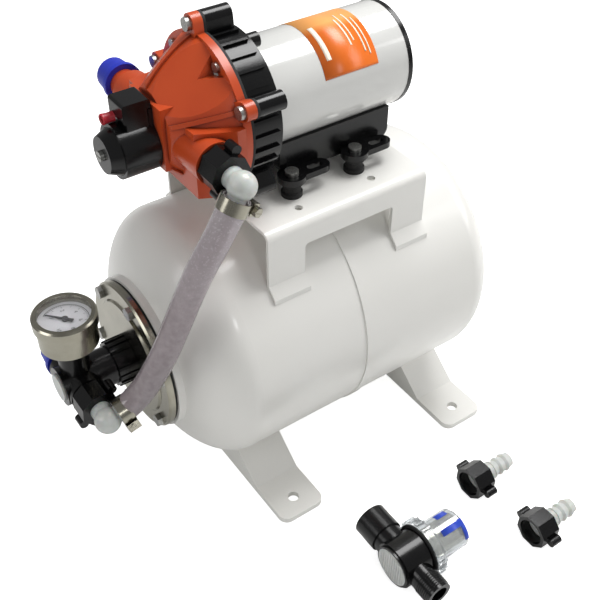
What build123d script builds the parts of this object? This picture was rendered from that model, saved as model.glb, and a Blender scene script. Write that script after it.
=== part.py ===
from build123d import *
import os
from math import cos, pi, radians, sin, sqrt, tan

# A caravan water pump set: a 12 V diaphragm pump on a platform over a steel pressure tank.
# The origin is on the floor, in the middle of the four foot holes. X runs along the tank from its
# flange to its air valve, Y goes away from the side with the hose, Z is up. Lengths are millimetres.

# Fits and turns that many pieces share
overrun = 1.0
running_gap = 0.06
seat_gap = 0.15
free_gap = 0.3
quarter_turn = 90.0

# Pressure tank, deep drawn in two halves
tank_radius = 101.0
tank_height = 130.0
tank_wall = 1.6
front_dome_x = -112.0
front_dome_depth = 50.0
rear_dome_x = 88.0
rear_dome_depth = 44.0
seam_x = -17.5
bead_width = 6.0
bead_height = 1.0
neck_weld_radius = 57.9
neck_radius = 60.0
neck_bore = 46.0
neck_reach = 5.03
neck_ring = 7.0
neck_root_x = front_dome_x - front_dome_depth * sqrt(1 - (neck_weld_radius / tank_radius) ** 2)
neck_face_x = neck_root_x - neck_reach

# Bladder inside the tank, its lip held by the flange
bladder_wall = 2.0
bladder_air = 15.0
bladder_radius = tank_radius - bladder_air
bladder_rear_x = 64.0
bladder_neck = 43.0
lip_thickness = 2.0

# Flange with its stub, and its bolts
flange_x = neck_face_x - lip_thickness
flange_radius = 58.5
flange_rim = 5.0
flange_edge = 1.5
flange_rise = 1.5
flange_web = 3.0
flange_dish = 44.0
stub_radius = 13.0
stub_bore = 9.0
stub_reach = 9.5
flange_bolts = 6
bolt_circle = 52.3
bolt_radius = 3.0
bolt_head = 5.2
bolt_head_height = 3.6
bolt_turn = 47.0

# Saddle feet, each a channel pressed from one sheet
foot_hole_x = 85.7
foot_hole_y = 98.3
foot_half_width = 20.0
foot_sheet = 3.0
foot_pad_height = 5.0
foot_end = 16.6
foot_bend = 23.8
foot_hole = 4.5
foot_leg_y = 36.5
foot_corner = 8.0

# Platform, a bent sheet welded on the tank
platform_gap = 19.0
platform_top = tank_height + tank_radius + platform_gap
platform_sheet = 2.5
platform_front_x = -86.0
platform_rear_x = 51.0
platform_half_width = 69.7
platform_bend = 6.0
platform_notch_front = -55.8
platform_notch_rear = 21.1
platform_notch_drop = 19.0
platform_notch_corner = 3.0
platform_lip = 7.5
platform_vent = 3.0
platform_vents_x = (-50.5, 12.2)
platform_vents_y = 54.0

# Air valve at the rear end
valve_stem = 4.0
valve_stem_reach = 13.0
valve_collar = 9.0
valve_collar_height = 2.5
valve_inner = 6.5
valve_inner_depth = 9.0
valve_pin = 1.0
valve_pin_travel = 1.5
valve_cap_radius = 6.2
valve_cap_wall = 1.6

# Coupling nut, washer and four way fitting
cross_reach = 48.0
cross_x = flange_x - cross_reach
coupling_radius = 17.0
coupling_rib = 1.0
coupling_ribs = 16
coupling_length = 15.0
coupling_wall = 2.0
coupling_neck = 11.0
washer_height = 2.0
cross_barrel = 15.0
cross_arm = 13.5
cross_end = 14.0
cross_bore = 8.0
plug_radius = 10.5
plug_height = 1.5
plug_spigot = 6.0

# Threaded ports and their wing nuts, all of one size
port_radius = 10.3
port_bore = 7.0
lower_port_y = 19.0
lower_stub = 12.0
upper_stub = 18.0
nut_radius = 14.0
nut_length = 17.0
nut_wall = 2.5
nut_neck = 7.5
nut_sides = 8
nut_flat = nut_radius * cos(pi / nut_sides)
wing_reach = 16.0
wing_sheet = 4.0
wing_height = 9.0
wing_knob = 3.4
wing_low = 5.0
upper_wings = Vector(0.38, 0, 0.925)
lower_wings = Vector(0.766, 0, 0.643)
collar_height = 3.0

# Dust caps pulled over free ports
cap_wall = 2.6
cap_length = 18.0
cap_end = 2.5
cap_rim = 1.2

# Gauge standing on the fitting
gauge_rise = 62.0
gauge_depth = 24.0
gauge_face_z = tank_height + gauge_rise
gauge_case_z = gauge_face_z - gauge_depth
gauge_radius = 21.0
gauge_bezel = 22.7
gauge_bezel_height = 6.0
gauge_wall = 1.2
gauge_hex = 9.0
gauge_hex_height = 4.0
gauge_spigot = 5.0
gauge_boss = 11.0
gauge_boss_top = gauge_case_z - gauge_hex_height
gauge_glass = 1.5
gauge_dial_drop = 5.0
gauge_dial_sheet = 0.8
needle_length = 15.0
needle_tail = 6.0
needle_width = 1.4
needle_sheet = 0.6
needle_hub = 2.2
needle_rise = 1.2
needle_bearing = 131.0

# Barbs, hose and clamps
hose_radius = 9.5
hose_bore = 6.5
barb_gap = 0.1
barb_bore = 4.5
arm_bore = 5.2
barb_length = 19.0
elbow_ball = 9.5
hose_start = 8.0
hose_first_run = 24.0
hose_last_run = 30.0
arc_share = 0.45
clamp_width = 9.0
clamp_sheet = 0.9
clamp_set = 12.5
clamp_box_height = 5.5
clamp_box_length = 13.0
clamp_screw = 1.9
clamp_screw_head = 3.4
clamp_head_height = 3.5
lower_knee_y = -48.5
lower_knee = Vector(cross_x, lower_knee_y, tank_height)
lower_way = Vector(0.97, 0, 0.243)
upper_way = Vector(-0.497, 0, -0.868)

# Pump and its orange head
pump_rise = 62.0
pump_height = platform_top + pump_rise
port_x = -112.0
port_drop = 4.0
port_z = pump_height - port_drop
joint_x = -84.5
head_radius = 53.0
head_rim = 5.5
rim_face_x = joint_x - head_rim
dome_radius = 51.5
dome_waist_x = -109.0
dome_waist_radius = 41.5
dome_end_x = -125.0
dome_end_radius = 28.0
dome_nose = 2.0
facet_share = 0.93
ridge_height = 1.2
ridge_half_width = 1.4
recess_apex = 40.0
recess_half_width = 15.5
recess_screw_circle = 47.0
recess_screw = 3.2
recess_screw_height = 2.2
recess_shank = 1.6
recess_side_share = 0.75
head_face_x = -130.0
head_pad_half_width = 20.0
head_pad_top = 22.0
head_boss = 14.5
outlet_boss_y = -54.0
inlet_boss_y = 57.0
inlet_end_y = 84.0
manifold_front_x = -120.0
manifold_step_x = -96.0
manifold_rear_x = -90.0
manifold_front_half = 42.0
manifold_inlet_half = 46.0
manifold_top = 13.0
manifold_bottom = -34.0
port_depth = 26.0
knee_y = -83.0

# Five lugs and screws round the pump
lugs = 5
lug_circle = 58.5
lug_radius = 6.3
lug_length = 7.0
lug_turn = 6.5
screw_radius = 2.3
screw_head = 4.4
screw_head_height = 3.2

# Black drive housing
drive_rear_x = -60.0
drive_radius = 50.0
drive_wall = 4.0
drive_floor = 3.0
drive_ribs = 5
drive_rib_height = 2.2
drive_rib_width = 2.0
lug_rear_x = -63.0
shaft_boss = 9.0

# Diaphragm, valve plate and wobble drive inside
diaphragm_sheet = 2.0
valve_plate_height = 6.0
valve_plate_radius = 43.0
chamber_circle = 25.0
chamber_radius = 9.0
valve_disc = 5.0
valve_sheet = 0.8
wobble_height = 5.0
wobble_hub = 13.0
bearing_height = 6.0
bearing_bore = 8.0
bearing_outer = 12.0
cam_radius = 7.4
cam_tilt = 2.5

# Motor
motor_radius = 37.3
motor_wall = 2.0
motor_rear_x = 54.5
bell_height = 3.5
bell_radius = 37.6
shaft_radius = 4.0
magnet_thickness = 6.0
magnet_front_x = -44.0
magnet_rear_x = 22.0
magnet_gap_half = 9.0
armature_front_x = -38.0
armature_rear_x = 18.0
armature_air_gap = 0.8
commutator_radius = 11.0
commutator_front_x = 28.0
commutator_rear_x = 42.0
brush_height = 5.0
brush_length = 14.0
knob_rear_x = -52.0
knob_circle = 44.5
knob_turn = 12.0
knob_radius = 5.0

# Motor base on rubber feet
base_front_x = -50.0
base_rear_x = 44.0
base_half_width = 31.0
rubber_height = 12.0
base_height = 25.0
base_bottom = platform_top + rubber_height
base_top = base_bottom + base_height
base_sheet = 4.5
base_corner = 8.0
pad_places_x = (-45.0, 9.0)
pad_y = 38.0
pad_radius = 10.0
pad_tail = 24.0
pad_tail_half = 6.5
slot_length = 12.0
slot_width = 5.0
slot_ahead = 19.0
rubber_radius = 7.6
rubber_bore = 2.8
rubber_waist = 6.2
base_screw = 2.4
base_screw_head = 4.8
base_screw_height = 3.0

# Pressure switch on the head's face
switch_neck_half = 10.0
switch_neck_tall = 39.0
switch_neck_x = -133.0
switch_barrel = 18.5
switch_drop = 8.0
switch_z = pump_height - switch_drop
switch_barrel_x = -155.0
switch_end_x = -163.0
switch_end_radius = 12.5
block_front_x = -150.0
block_rear_x = -130.5
block_half_width = 9.5
block_gap = 2.5
block_height = 13.0
block_bottom = switch_z + switch_barrel + block_gap
block_corner = 2.0
adjuster_radius = 3.6
adjuster_height = 5.0
adjuster_depth = 8.0
adjuster_slot = 0.8

# Strainer lying beside the pump
strainer_y = -203.0
strainer_flow_x = -57.0
strainer_radius = 18.0
strainer_front_x = -68.5
strainer_rear_x = -44.0
strainer_inlet_y = -160.0
strainer_outlet_y = -240.0
strainer_socket = 13.6
strainer_neck = 12.2
strainer_flare_y = -180.0
strainer_floor = 2.5
strainer_disc = 16.5
strainer_disc_height = 2.0
strainer_ring_rear_x = -36.0
strainer_ring = 22.5
strainer_ring_ribs = 20
strainer_bowl = 15.8
strainer_bowl_end_x = -8.0
strainer_wall = 1.8
strainer_screen = 12.0
screen_wall = 0.8
strainer_bore = 12.5

# Two spare barbs with wing nuts, lying beside the pump
spare_nuts = ((33.5, -174.0), (41.5, -235.6))
spare_barb = 27.5
spare_ridge = 1.0
spare_ridges = 3

rearward = Vector(1, 0, 0)
frontward = Vector(-1, 0, 0)
leftward = Vector(0, 1, 0)
rightward = Vector(0, -1, 0)
upward = Vector(0, 0, 1)
downward = Vector(0, 0, -1)

upper_knee = Vector(port_x, knee_y, port_z)

# The hose's route, chosen by hand from the lower elbow up to the upper one
hose_route = [
    lower_knee + lower_way * hose_start,
    lower_knee + lower_way * hose_first_run,
    lower_knee + Vector(40.1, -14.5, 48.2),
    lower_knee + Vector(53.8, -21.5, 87.1),
    upper_knee + Vector(-31.4, 6.0, -57.7),
    upper_knee + upper_way * hose_last_run,
    upper_knee + upper_way * hose_start,
]


def bar(start, way, radius, length):
    """A round bar from start along way."""
    return Solid.make_cylinder(radius, length, Plane(origin=start, z_dir=way))


def tube(start, way, outer, inner, length):
    """A round tube from start along way."""
    hole = bar(Vector(start) - Vector(way) * overrun, way, inner, length + 2 * overrun)
    return bar(start, way, outer, length) - hole


def block(x_range, y_range, z_range):
    """A plain block between the given limits."""
    corner = Vector(x_range[0], y_range[0], z_range[0])
    size = Vector(x_range[1], y_range[1], z_range[1]) - corner
    return Solid.make_box(size.X, size.Y, size.Z, Plane(origin=corner))


def turned(points, start, way):
    """A turned piece: points are (along, radius), its axis goes from start along way."""
    outline = Polyline(*[(radius, 0, along) for along, radius in points], close=True)
    return Plane(origin=start, z_dir=way).location * revolve(make_face(outline), Axis.Z)


def prism_x(sketch, x_from, x_to):
    """A sketch of the YZ plane, extruded from one X to another."""
    return extrude(Plane.YZ.offset(x_from) * sketch, x_to - x_from)


def polygon(*points):
    """A flat face through the points."""
    return make_face(Polyline(*points, close=True))


def about_pump(shape, turn):
    """A shape drawn at the top of the X axis, turned round the pump's axis towards +Y."""
    return Pos(0, 0, pump_height) * Rot(-turn, 0, 0) * shape


def about_tank(shape, turn):
    """A shape drawn at the top of the X axis, turned round the tank's axis towards +Y."""
    return Pos(0, 0, tank_height) * Rot(-turn, 0, 0) * shape


def lug_turns():
    """The angles of the five lugs."""
    return [lug_turn + index * 360 / lugs for index in range(lugs)]


def tank_form(inset):
    """The whole tank as a solid, its faces set in by inset."""
    radius = tank_radius - inset
    front = EllipticalCenterArc(
        (front_dome_x, 0), front_dome_depth - inset, radius, start_angle=quarter_turn, arc_size=quarter_turn)
    rear = EllipticalCenterArc(
        (rear_dome_x, 0), rear_dome_depth - inset, radius, start_angle=0, arc_size=quarter_turn)
    top = Line((rear_dome_x, radius), (front_dome_x, radius))
    middle = Line((front_dome_x - front_dome_depth + inset, 0), (rear_dome_x + rear_dome_depth - inset, 0))
    return Pos(0, 0, tank_height) * revolve(make_face([front, top, rear, middle]), Axis.X)


def on_tank(x):
    """A point on the tank's axis."""
    return Vector(x, 0, tank_height)


bead_front_x = seam_x - bead_width / 2
tank_reach = front_dome_depth + rear_dome_depth + rear_dome_x - front_dome_x


def tank_front_shell():
    """Front half with the opening's ring."""
    shell = tank_form(0) - tank_form(tank_wall)
    shell -= bar(on_tank(bead_front_x), rearward, tank_radius + overrun, tank_reach)
    shell -= bar(on_tank(neck_root_x), frontward, tank_radius, tank_reach)
    shell -= bar(on_tank(front_dome_x), frontward, neck_bore, tank_reach)
    ring = tube(on_tank(neck_face_x), rearward, neck_radius, neck_bore, neck_ring)
    return shell + ring - bolt_holes(bolt_radius + free_gap)


def bolt_holes(radius):
    """Round holes for the flange's bolts."""
    holes = []
    for index in range(flange_bolts):
        hole = bar((flange_x - flange_rim - overrun, 0, bolt_circle), rearward, radius,
                   flange_rim + lip_thickness + neck_ring + tank_wall + 2 * overrun)
        holes.append(about_tank(hole, bolt_turn + index * 360 / flange_bolts))
    return holes


def tank_rear_shell():
    """Rear half, with the seam's bead and the hole of the air valve."""
    shell = tank_form(0) - tank_form(tank_wall)
    shell -= bar(on_tank(bead_front_x), frontward, tank_radius + overrun, tank_reach)
    shell += tube(on_tank(bead_front_x), rearward, tank_radius + bead_height,
                  tank_radius - tank_wall, bead_width)
    valve_hole = bar(on_tank(rear_dome_x), rearward, valve_inner + seat_gap, tank_reach)
    return shell - valve_hole


def bladder():
    """Rubber bag with its lip between the flange and the opening's ring."""
    shoulder_x = front_dome_x
    outer = [(flange_x, flange_radius - overrun), (flange_x, bladder_neck - bladder_wall),
             (shoulder_x, bladder_radius - bladder_wall),
             (bladder_rear_x - bladder_radius / 2, bladder_radius - bladder_wall),
             (bladder_rear_x - bladder_wall, bladder_radius / 2), (bladder_rear_x - bladder_wall, 0),
             (bladder_rear_x, 0), (bladder_rear_x, bladder_radius / 2),
             (bladder_rear_x - bladder_radius / 2, bladder_radius), (shoulder_x, bladder_radius),
             (neck_face_x + neck_ring, bladder_neck), (neck_face_x, bladder_neck),
             (neck_face_x, flange_radius - overrun)]
    bag = turned(outer, on_tank(0), rearward)
    return bag - bolt_holes(bolt_radius + free_gap)


def flange():
    """Steel flange with a thick rim, a raised middle and a threaded stub."""
    dish_x = flange_x - flange_rim
    rise_x = dish_x - flange_rise
    web_x = rise_x + flange_web
    points = [(flange_x, flange_radius), (dish_x + flange_edge, flange_radius),
              (dish_x, flange_radius - flange_edge), (dish_x, flange_dish + flange_rise),
              (rise_x, flange_dish), (rise_x, stub_radius), (rise_x - stub_reach, stub_radius),
              (rise_x - stub_reach, stub_bore), (web_x, stub_bore),
              (web_x, flange_dish - flange_web), (flange_x, flange_dish)]
    return turned(points, on_tank(0), rearward) - bolt_holes(bolt_radius + seat_gap)


def flange_bolt_set():
    """Six hexagon bolts."""
    bolts = []
    for index in range(flange_bolts):
        head = extrude(Plane.YZ * RegularPolygon(bolt_head, 6), -bolt_head_height)
        head = Pos(flange_x - flange_rim, 0, bolt_circle) * head
        shank = bar((flange_x - flange_rim, 0, bolt_circle), rearward, bolt_radius,
                    flange_rim + lip_thickness + neck_ring)
        bolts.append(about_tank(head + shank, bolt_turn + index * 360 / flange_bolts))
    return bolts


def foot_profile(floor_z):
    """Side view of a foot: two pads, two slanting legs and the saddle between them."""
    bend_y = foot_hole_y - foot_bend
    end_y = foot_hole_y + foot_end
    seat = tank_radius + seat_gap
    leg_z = tank_height - sqrt(seat ** 2 - foot_leg_y ** 2)
    right = [(end_y, floor_z), (end_y, foot_pad_height), (bend_y, foot_pad_height), (foot_leg_y, leg_z)]
    left = [(-y, z) for y, z in reversed(right)]
    return polygon(*right, *left) - Pos(0, tank_height) * Circle(seat)


def saddle_foot(x_middle):
    """One channel from pad to pad under the tank, open below between its pads."""
    pads_from = foot_hole_y - foot_bend - foot_sheet
    foot = prism_x(foot_profile(0), x_middle - foot_half_width, x_middle + foot_half_width)
    inside = offset(foot_profile(-2 * foot_pad_height), -foot_sheet)
    inside &= Rectangle(2 * pads_from, 2 * tank_height)
    foot -= prism_x(inside, x_middle - foot_half_width + foot_sheet, x_middle + foot_half_width - foot_sheet)
    for side in (-1, 1):
        foot -= bar((x_middle, side * foot_hole_y, -overrun), upward, foot_hole,
                    foot_pad_height + 2 * overrun)
    corners = foot.edges().filter_by(Axis.Z)
    ends = corners.filter_by(lambda edge: abs(edge.center().Y) > foot_hole_y + foot_end / 2)
    return fillet(ends, foot_corner)


def platform():
    """Bent sheet with notched skirts, and lips that lie on the tank."""
    outer = Pos(0, platform_top - tank_height / 2) * RectangleRounded(
        2 * platform_half_width, tank_height, platform_bend)
    inner = Pos(0, platform_top - platform_sheet - tank_height / 2) * RectangleRounded(
        2 * (platform_half_width - platform_sheet), tank_height, platform_bend - platform_sheet)
    sheet = prism_x(outer - inner, platform_front_x, platform_rear_x)
    sheet -= bar((platform_front_x - overrun, 0, tank_height), rearward, tank_radius + seat_gap,
                 platform_rear_x - platform_front_x + 2 * overrun)
    lip = tube((platform_front_x, 0, tank_height), rearward, tank_radius + seat_gap + platform_sheet,
               tank_radius + seat_gap, platform_rear_x - platform_front_x)
    lip &= block((platform_front_x, platform_rear_x),
                 (-platform_half_width - platform_lip, platform_half_width + platform_lip),
                 (tank_height, platform_top))
    middle = block((platform_front_x - overrun, platform_rear_x + overrun),
                   (platform_sheet - platform_half_width, platform_half_width - platform_sheet),
                   (tank_height, platform_top - platform_sheet))
    below = block((platform_front_x - overrun, platform_rear_x + overrun),
                  (-tank_radius, tank_radius), (0, tank_height))
    sheet = sheet - below + (lip - middle)
    notch_middle_x = (platform_notch_front + platform_notch_rear) / 2
    notch = Pos(notch_middle_x, platform_top - platform_notch_drop - tank_radius / 2)
    window = notch * RectangleRounded(
        platform_notch_rear - platform_notch_front, tank_radius, platform_notch_corner)
    sheet -= extrude(Plane.XZ * window, tank_radius, both=True)
    for x in pad_places_x:
        for side in (-1, 1):
            sheet -= bar((x, side * pad_y, platform_top - platform_sheet - overrun), upward,
                         base_screw + seat_gap, platform_sheet + 2 * overrun)
    for x in platform_vents_x:
        for side in (-1, 1):
            sheet -= bar((x, side * platform_vents_y, platform_top - platform_sheet - overrun), upward,
                         platform_vent, platform_sheet + 2 * overrun)
    return sheet


rear_tip_x = rear_dome_x + rear_dome_depth


def air_valve_body():
    """Brass valve: a collar on the dome, a stem outside and a stub inside."""
    base_x = rear_tip_x + seat_gap
    points = [(base_x - valve_inner_depth, valve_pin + running_gap),
              (base_x - valve_inner_depth, valve_inner),
              (base_x, valve_inner), (base_x, valve_collar),
              (base_x + valve_collar_height, valve_collar), (base_x + valve_collar_height, valve_stem),
              (base_x + valve_stem_reach, valve_stem), (base_x + valve_stem_reach, valve_pin + running_gap)]
    return turned(points, on_tank(0), rearward)


def air_valve_pin():
    """The valve's core pin."""
    base_x = rear_tip_x + seat_gap
    start = base_x - valve_inner_depth + valve_pin_travel
    return bar(on_tank(start), rearward, valve_pin, base_x + valve_stem_reach - start)


def air_valve_cap():
    """Cap over the valve's stem."""
    start = rear_tip_x + seat_gap + valve_collar_height + free_gap
    inner_end = rear_tip_x + seat_gap + valve_stem_reach + free_gap
    points = [(start, valve_stem + running_gap), (start, valve_cap_radius),
              (inner_end, valve_cap_radius),
              (inner_end + valve_cap_wall, valve_cap_radius - valve_cap_wall / 2),
              (inner_end + valve_cap_wall, 0), (inner_end, 0), (inner_end, valve_stem + running_gap)]
    return turned(points, on_tank(0), rearward)


stub_end_x = flange_x - flange_rim - flange_rise - stub_reach
coupling_start_x = flange_x - flange_rim - flange_rise - free_gap
coupling_end_x = coupling_start_x - coupling_length
washer_end_x = stub_end_x - washer_height


def coupling_nut():
    """Ribbed union nut that draws the fitting on the flange's stub."""
    inner_end = coupling_end_x + coupling_wall
    points = [(coupling_start_x, stub_radius + running_gap), (coupling_start_x, coupling_radius),
              (coupling_end_x, coupling_radius), (coupling_end_x, coupling_neck + running_gap),
              (inner_end, coupling_neck + running_gap), (inner_end, stub_radius + running_gap)]
    nut = turned(points, on_tank(0), rearward)
    rib = block((coupling_end_x, coupling_start_x), (-coupling_rib, coupling_rib),
                (coupling_radius - coupling_rib, coupling_radius + coupling_rib))
    return nut + [about_tank(rib, index * 360 / coupling_ribs) for index in range(coupling_ribs)]


def coupling_washer():
    """Flat washer between stub and fitting."""
    return tube(on_tank(stub_end_x), frontward, stub_radius - seat_gap, stub_bore, washer_height)


def cross_fitting():
    """Black four way fitting: barrel, two side ports and the gauge's boss."""
    collar_end = coupling_end_x + coupling_wall + seat_gap
    barrel_start = coupling_end_x - free_gap
    end_x = cross_x - cross_end
    body = bar(on_tank(washer_end_x), frontward, stub_radius - seat_gap, washer_end_x - collar_end)
    body += bar(on_tank(collar_end), frontward, coupling_neck, collar_end - barrel_start)
    body += bar(on_tank(barrel_start), frontward, cross_barrel, barrel_start - end_x)
    body += bar((cross_x, -lower_port_y, tank_height), rightward, port_radius, lower_stub)
    body += bar((cross_x, lower_port_y, tank_height), leftward, port_radius, upper_stub)
    body += bar((cross_x, -lower_port_y, tank_height), leftward, cross_arm, 2 * lower_port_y)
    body += bar((cross_x, 0, tank_height), upward, gauge_boss, gauge_boss_top - tank_height)
    body -= bar(on_tank(washer_end_x + overrun), frontward, cross_bore, washer_end_x - end_x + 2 * overrun)
    body -= bar((cross_x, -lower_port_y - lower_stub - overrun, tank_height), leftward, port_bore,
                2 * lower_port_y + lower_stub + upper_stub + 2 * overrun)
    return body - bar((cross_x, 0, tank_height), upward, gauge_spigot + seat_gap, tank_radius)


def end_plug():
    """Pale plug in the fitting's blind end."""
    end_x = cross_x - cross_end
    plug = bar(on_tank(end_x), frontward, plug_radius, plug_height)
    return plug + bar(on_tank(end_x), rearward, cross_bore - seat_gap, plug_spigot)


def dust_cap(start, way):
    """Blue cap pulled over a free port, its rim at start."""
    points = [(0, port_radius + running_gap), (0, port_radius + cap_wall + cap_rim),
              (cap_rim + cap_wall, port_radius + cap_wall + cap_rim),
              (cap_rim + cap_wall, port_radius + cap_wall), (cap_length, port_radius + cap_wall - cap_rim),
              (cap_length, 0), (cap_length - cap_end, 0), (cap_length - cap_end, port_radius + running_gap)]
    return turned(points, start, way)


def outlet_cap():
    """Cap on the fitting's free port."""
    start_y = lower_port_y + upper_stub + free_gap - cap_length + cap_end
    return dust_cap((cross_x, start_y, tank_height), leftward)


def inlet_cap():
    """Cap on the pump's inlet."""
    start_y = inlet_end_y + free_gap - cap_length + cap_end
    return dust_cap((port_x, start_y, port_z), leftward)


def gauge_socket():
    """Brass hexagon and threads under the gauge."""
    hexagon = extrude(Plane.XY.offset(gauge_boss_top) * RegularPolygon(gauge_hex, 6),
                      gauge_case_z - gauge_boss_top)
    spigot = bar((0, 0, gauge_boss_top), downward, gauge_spigot, gauge_boss_top - tank_height - cross_bore)
    return Pos(cross_x, 0, 0) * (hexagon + spigot)


def gauge_case():
    """Round steel cup, open at the top."""
    rim_z = gauge_face_z
    points = [(gauge_case_z, 0), (gauge_case_z, gauge_radius - gauge_wall),
              (gauge_case_z + gauge_wall, gauge_radius), (rim_z, gauge_radius),
              (rim_z, gauge_radius - gauge_wall), (gauge_case_z + gauge_wall, gauge_radius - gauge_wall),
              (gauge_case_z + gauge_wall, 0)]
    return turned(points, (cross_x, 0, 0), upward)


def gauge_bezel_ring():
    """Rolled ring that holds the glass."""
    start = gauge_face_z - gauge_bezel_height
    top = gauge_face_z + gauge_glass + gauge_wall
    lip = gauge_radius - 2 * gauge_wall
    points = [(start, gauge_radius + seat_gap), (start, gauge_bezel), (top - gauge_wall, gauge_bezel),
              (top, gauge_bezel - gauge_wall), (top, lip), (top - gauge_wall + seat_gap, lip),
              (top - gauge_wall + seat_gap, gauge_radius + seat_gap)]
    return turned(points, (cross_x, 0, 0), upward)


def gauge_lens():
    """Flat glass on the cup's rim."""
    return bar((cross_x, 0, gauge_face_z), upward, gauge_radius, gauge_glass)


dial_z = gauge_face_z - gauge_dial_drop


def gauge_dial():
    """White dial plate, on a post from the cup's floor."""
    plate = bar((cross_x, 0, dial_z), downward, gauge_radius - gauge_wall - seat_gap, gauge_dial_sheet)
    post = bar((cross_x, 0, gauge_case_z + gauge_wall), upward, gauge_spigot,
               dial_z - gauge_dial_sheet - gauge_case_z - gauge_wall)
    hole = bar((cross_x, 0, gauge_case_z), upward, needle_width / 2 + running_gap, gauge_radius * 2)
    return plate + post - hole


def gauge_needle():
    """Pointer with its hub and spindle, drawn along +X and turned to zero."""
    height = dial_z + needle_rise
    pointer = polygon((-needle_tail, -needle_width), (-needle_tail, needle_width),
                      (needle_length, needle_width / 4), (needle_length, -needle_width / 4))
    blade = extrude(Pos(0, 0, height) * pointer, needle_sheet)
    hub = bar((0, 0, height - needle_sheet), upward, needle_hub, 3 * needle_sheet)
    spindle_z = gauge_case_z + gauge_wall + free_gap
    spindle = bar((0, 0, spindle_z), upward, needle_width / 2, height - spindle_z)
    return Pos(cross_x, 0, 0) * Rot(0, 0, needle_bearing) * (blade + hub + spindle)


def wing_nut(start, way, wing_way):
    """Eight sided nut with two knobbed wings. Its open end is at start."""
    nut = extrude(RegularPolygon(nut_radius, nut_sides, rotation=2 * quarter_turn / nut_sides), nut_length)
    nut += block((-wing_reach, wing_reach), (-wing_sheet / 2, wing_sheet / 2),
                 (wing_low, wing_low + wing_height))
    for side in (-1, 1):
        nut += bar((side * wing_reach, 0, wing_low), upward, wing_knob, wing_height)
    nut -= bar((0, 0, -overrun), upward, port_radius + running_gap, nut_length - nut_wall + overrun)
    nut -= bar((0, 0, 0), upward, nut_neck + running_gap, nut_length + overrun)
    return Plane(origin=start, x_dir=wing_way, z_dir=way).location * nut


def elbow(stub_end, way, knee, barb_way):
    """Right angle barb: collar, arm, ball and a straight barb inside the hose."""
    arm = (knee - stub_end).length
    body = bar(stub_end + way * seat_gap, way, port_radius - seat_gap, collar_height)
    body += bar(stub_end + way * seat_gap, way, nut_neck, arm - seat_gap)
    body += Plane(origin=knee, x_dir=-barb_way, z_dir=way).location * Sphere(elbow_ball)
    body += bar(knee, barb_way, hose_bore - barb_gap, barb_length)
    body -= bar(stub_end, way, arm_bore, arm + arm_bore)
    body -= bar(knee, barb_way, barb_bore, barb_length + overrun)
    return body


lower_stub_end = Vector(cross_x, -lower_port_y - lower_stub, tank_height)
upper_stub_end = Vector(port_x, outlet_boss_y - lower_stub, port_z)
nut_back = nut_length - nut_wall - collar_height - 2 * seat_gap


def hose_path():
    """Straight runs joined by tangent arcs, each as large as its two runs allow."""
    radii = []
    for index in range(1, len(hose_route) - 1):
        before = hose_route[index] - hose_route[index - 1]
        after = hose_route[index + 1] - hose_route[index]
        half_turn = radians(before.get_angle(after)) / 2
        shorter = min(before.length, after.length)
        radii.append(arc_share * shorter / tan(half_turn))
    print("hose radii", [round(radius, 1) for radius in radii])
    return FilletPolyline(*hose_route, radius=radii)


def hose():
    """Clear reinforced hose between the two elbows."""
    path = hose_path()
    start = Plane(origin=path @ 0, z_dir=path % 0)
    outer = sweep(start * Circle(hose_radius), path)
    inner = sweep(start * Circle(hose_bore), path)
    body = outer - inner
    section = Circle(hose_radius).area - Circle(hose_bore).area
    print("hose length", round(path.length, 1), "volume", round(body.volume), "expected",
          round(section * path.length))
    return body


def clamp_frame(knee, way, box_way):
    """Frame of a clamp: Z along the hose, X to the worm housing."""
    return Plane(origin=knee + way * clamp_set, x_dir=box_way, z_dir=way)


def clamp_band(frame):
    """Steel band with the housing of its worm screw."""
    inner = hose_radius + seat_gap
    outer = inner + clamp_sheet
    band = Pos(0, 0, 0) * (Cylinder(outer, clamp_width) - Cylinder(inner, clamp_width + overrun))
    box_centre = outer + clamp_box_height / 2 - clamp_sheet / 2
    housing = Pos(box_centre, 0, 0) * Box(clamp_box_height, clamp_box_length, clamp_width)
    worm = bar((box_centre, -clamp_box_length, 0), leftward, clamp_screw + running_gap, 2 * clamp_box_length)
    return frame.location * (band + (housing - Cylinder(inner, 2 * clamp_width)) - worm)


def clamp_worm(frame):
    """Worm screw with its hexagon head."""
    box_centre = hose_radius + seat_gap + clamp_sheet / 2 + clamp_box_height / 2
    half = clamp_box_length / 2
    shank = bar((box_centre, -half - clamp_screw, 0), leftward, clamp_screw,
                clamp_box_length + clamp_screw + free_gap)
    head = extrude(Plane.XZ * RegularPolygon(clamp_screw_head, 6), -clamp_head_height)
    head = Pos(box_centre, half + free_gap, 0) * head
    slot = block((box_centre - clamp_screw_head, box_centre + clamp_screw_head),
                 (half + clamp_head_height, half + 2 * clamp_head_height),
                 (-clamp_sheet / 2, clamp_sheet / 2))
    return frame.location * (shank + head - slot)


lower_clamp = clamp_frame(lower_knee, lower_way, Vector(0.186, -0.643, -0.743))
upper_clamp = clamp_frame(upper_knee, upper_way, Vector(0.855, 0.174, -0.489))


def dome_form(lift):
    """The dome on the head's rim as a turned form, its surface lifted by lift."""
    root = (rim_face_x, dome_radius + lift)
    waist = (dome_waist_x - lift, dome_waist_radius + lift)
    end = (dome_end_x - lift, dome_end_radius + lift)
    nose_x = dome_end_x - dome_nose - lift
    nose = (nose_x, dome_end_radius - dome_nose)
    outline = [ThreePointArc(root, waist, end), Line(end, nose), Line(nose, (nose_x, 0)),
               Line((nose_x, 0), (rim_face_x, 0)), Line((rim_face_x, 0), root)]
    return Pos(0, 0, pump_height) * revolve(make_face(outline), Axis.X)


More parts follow.
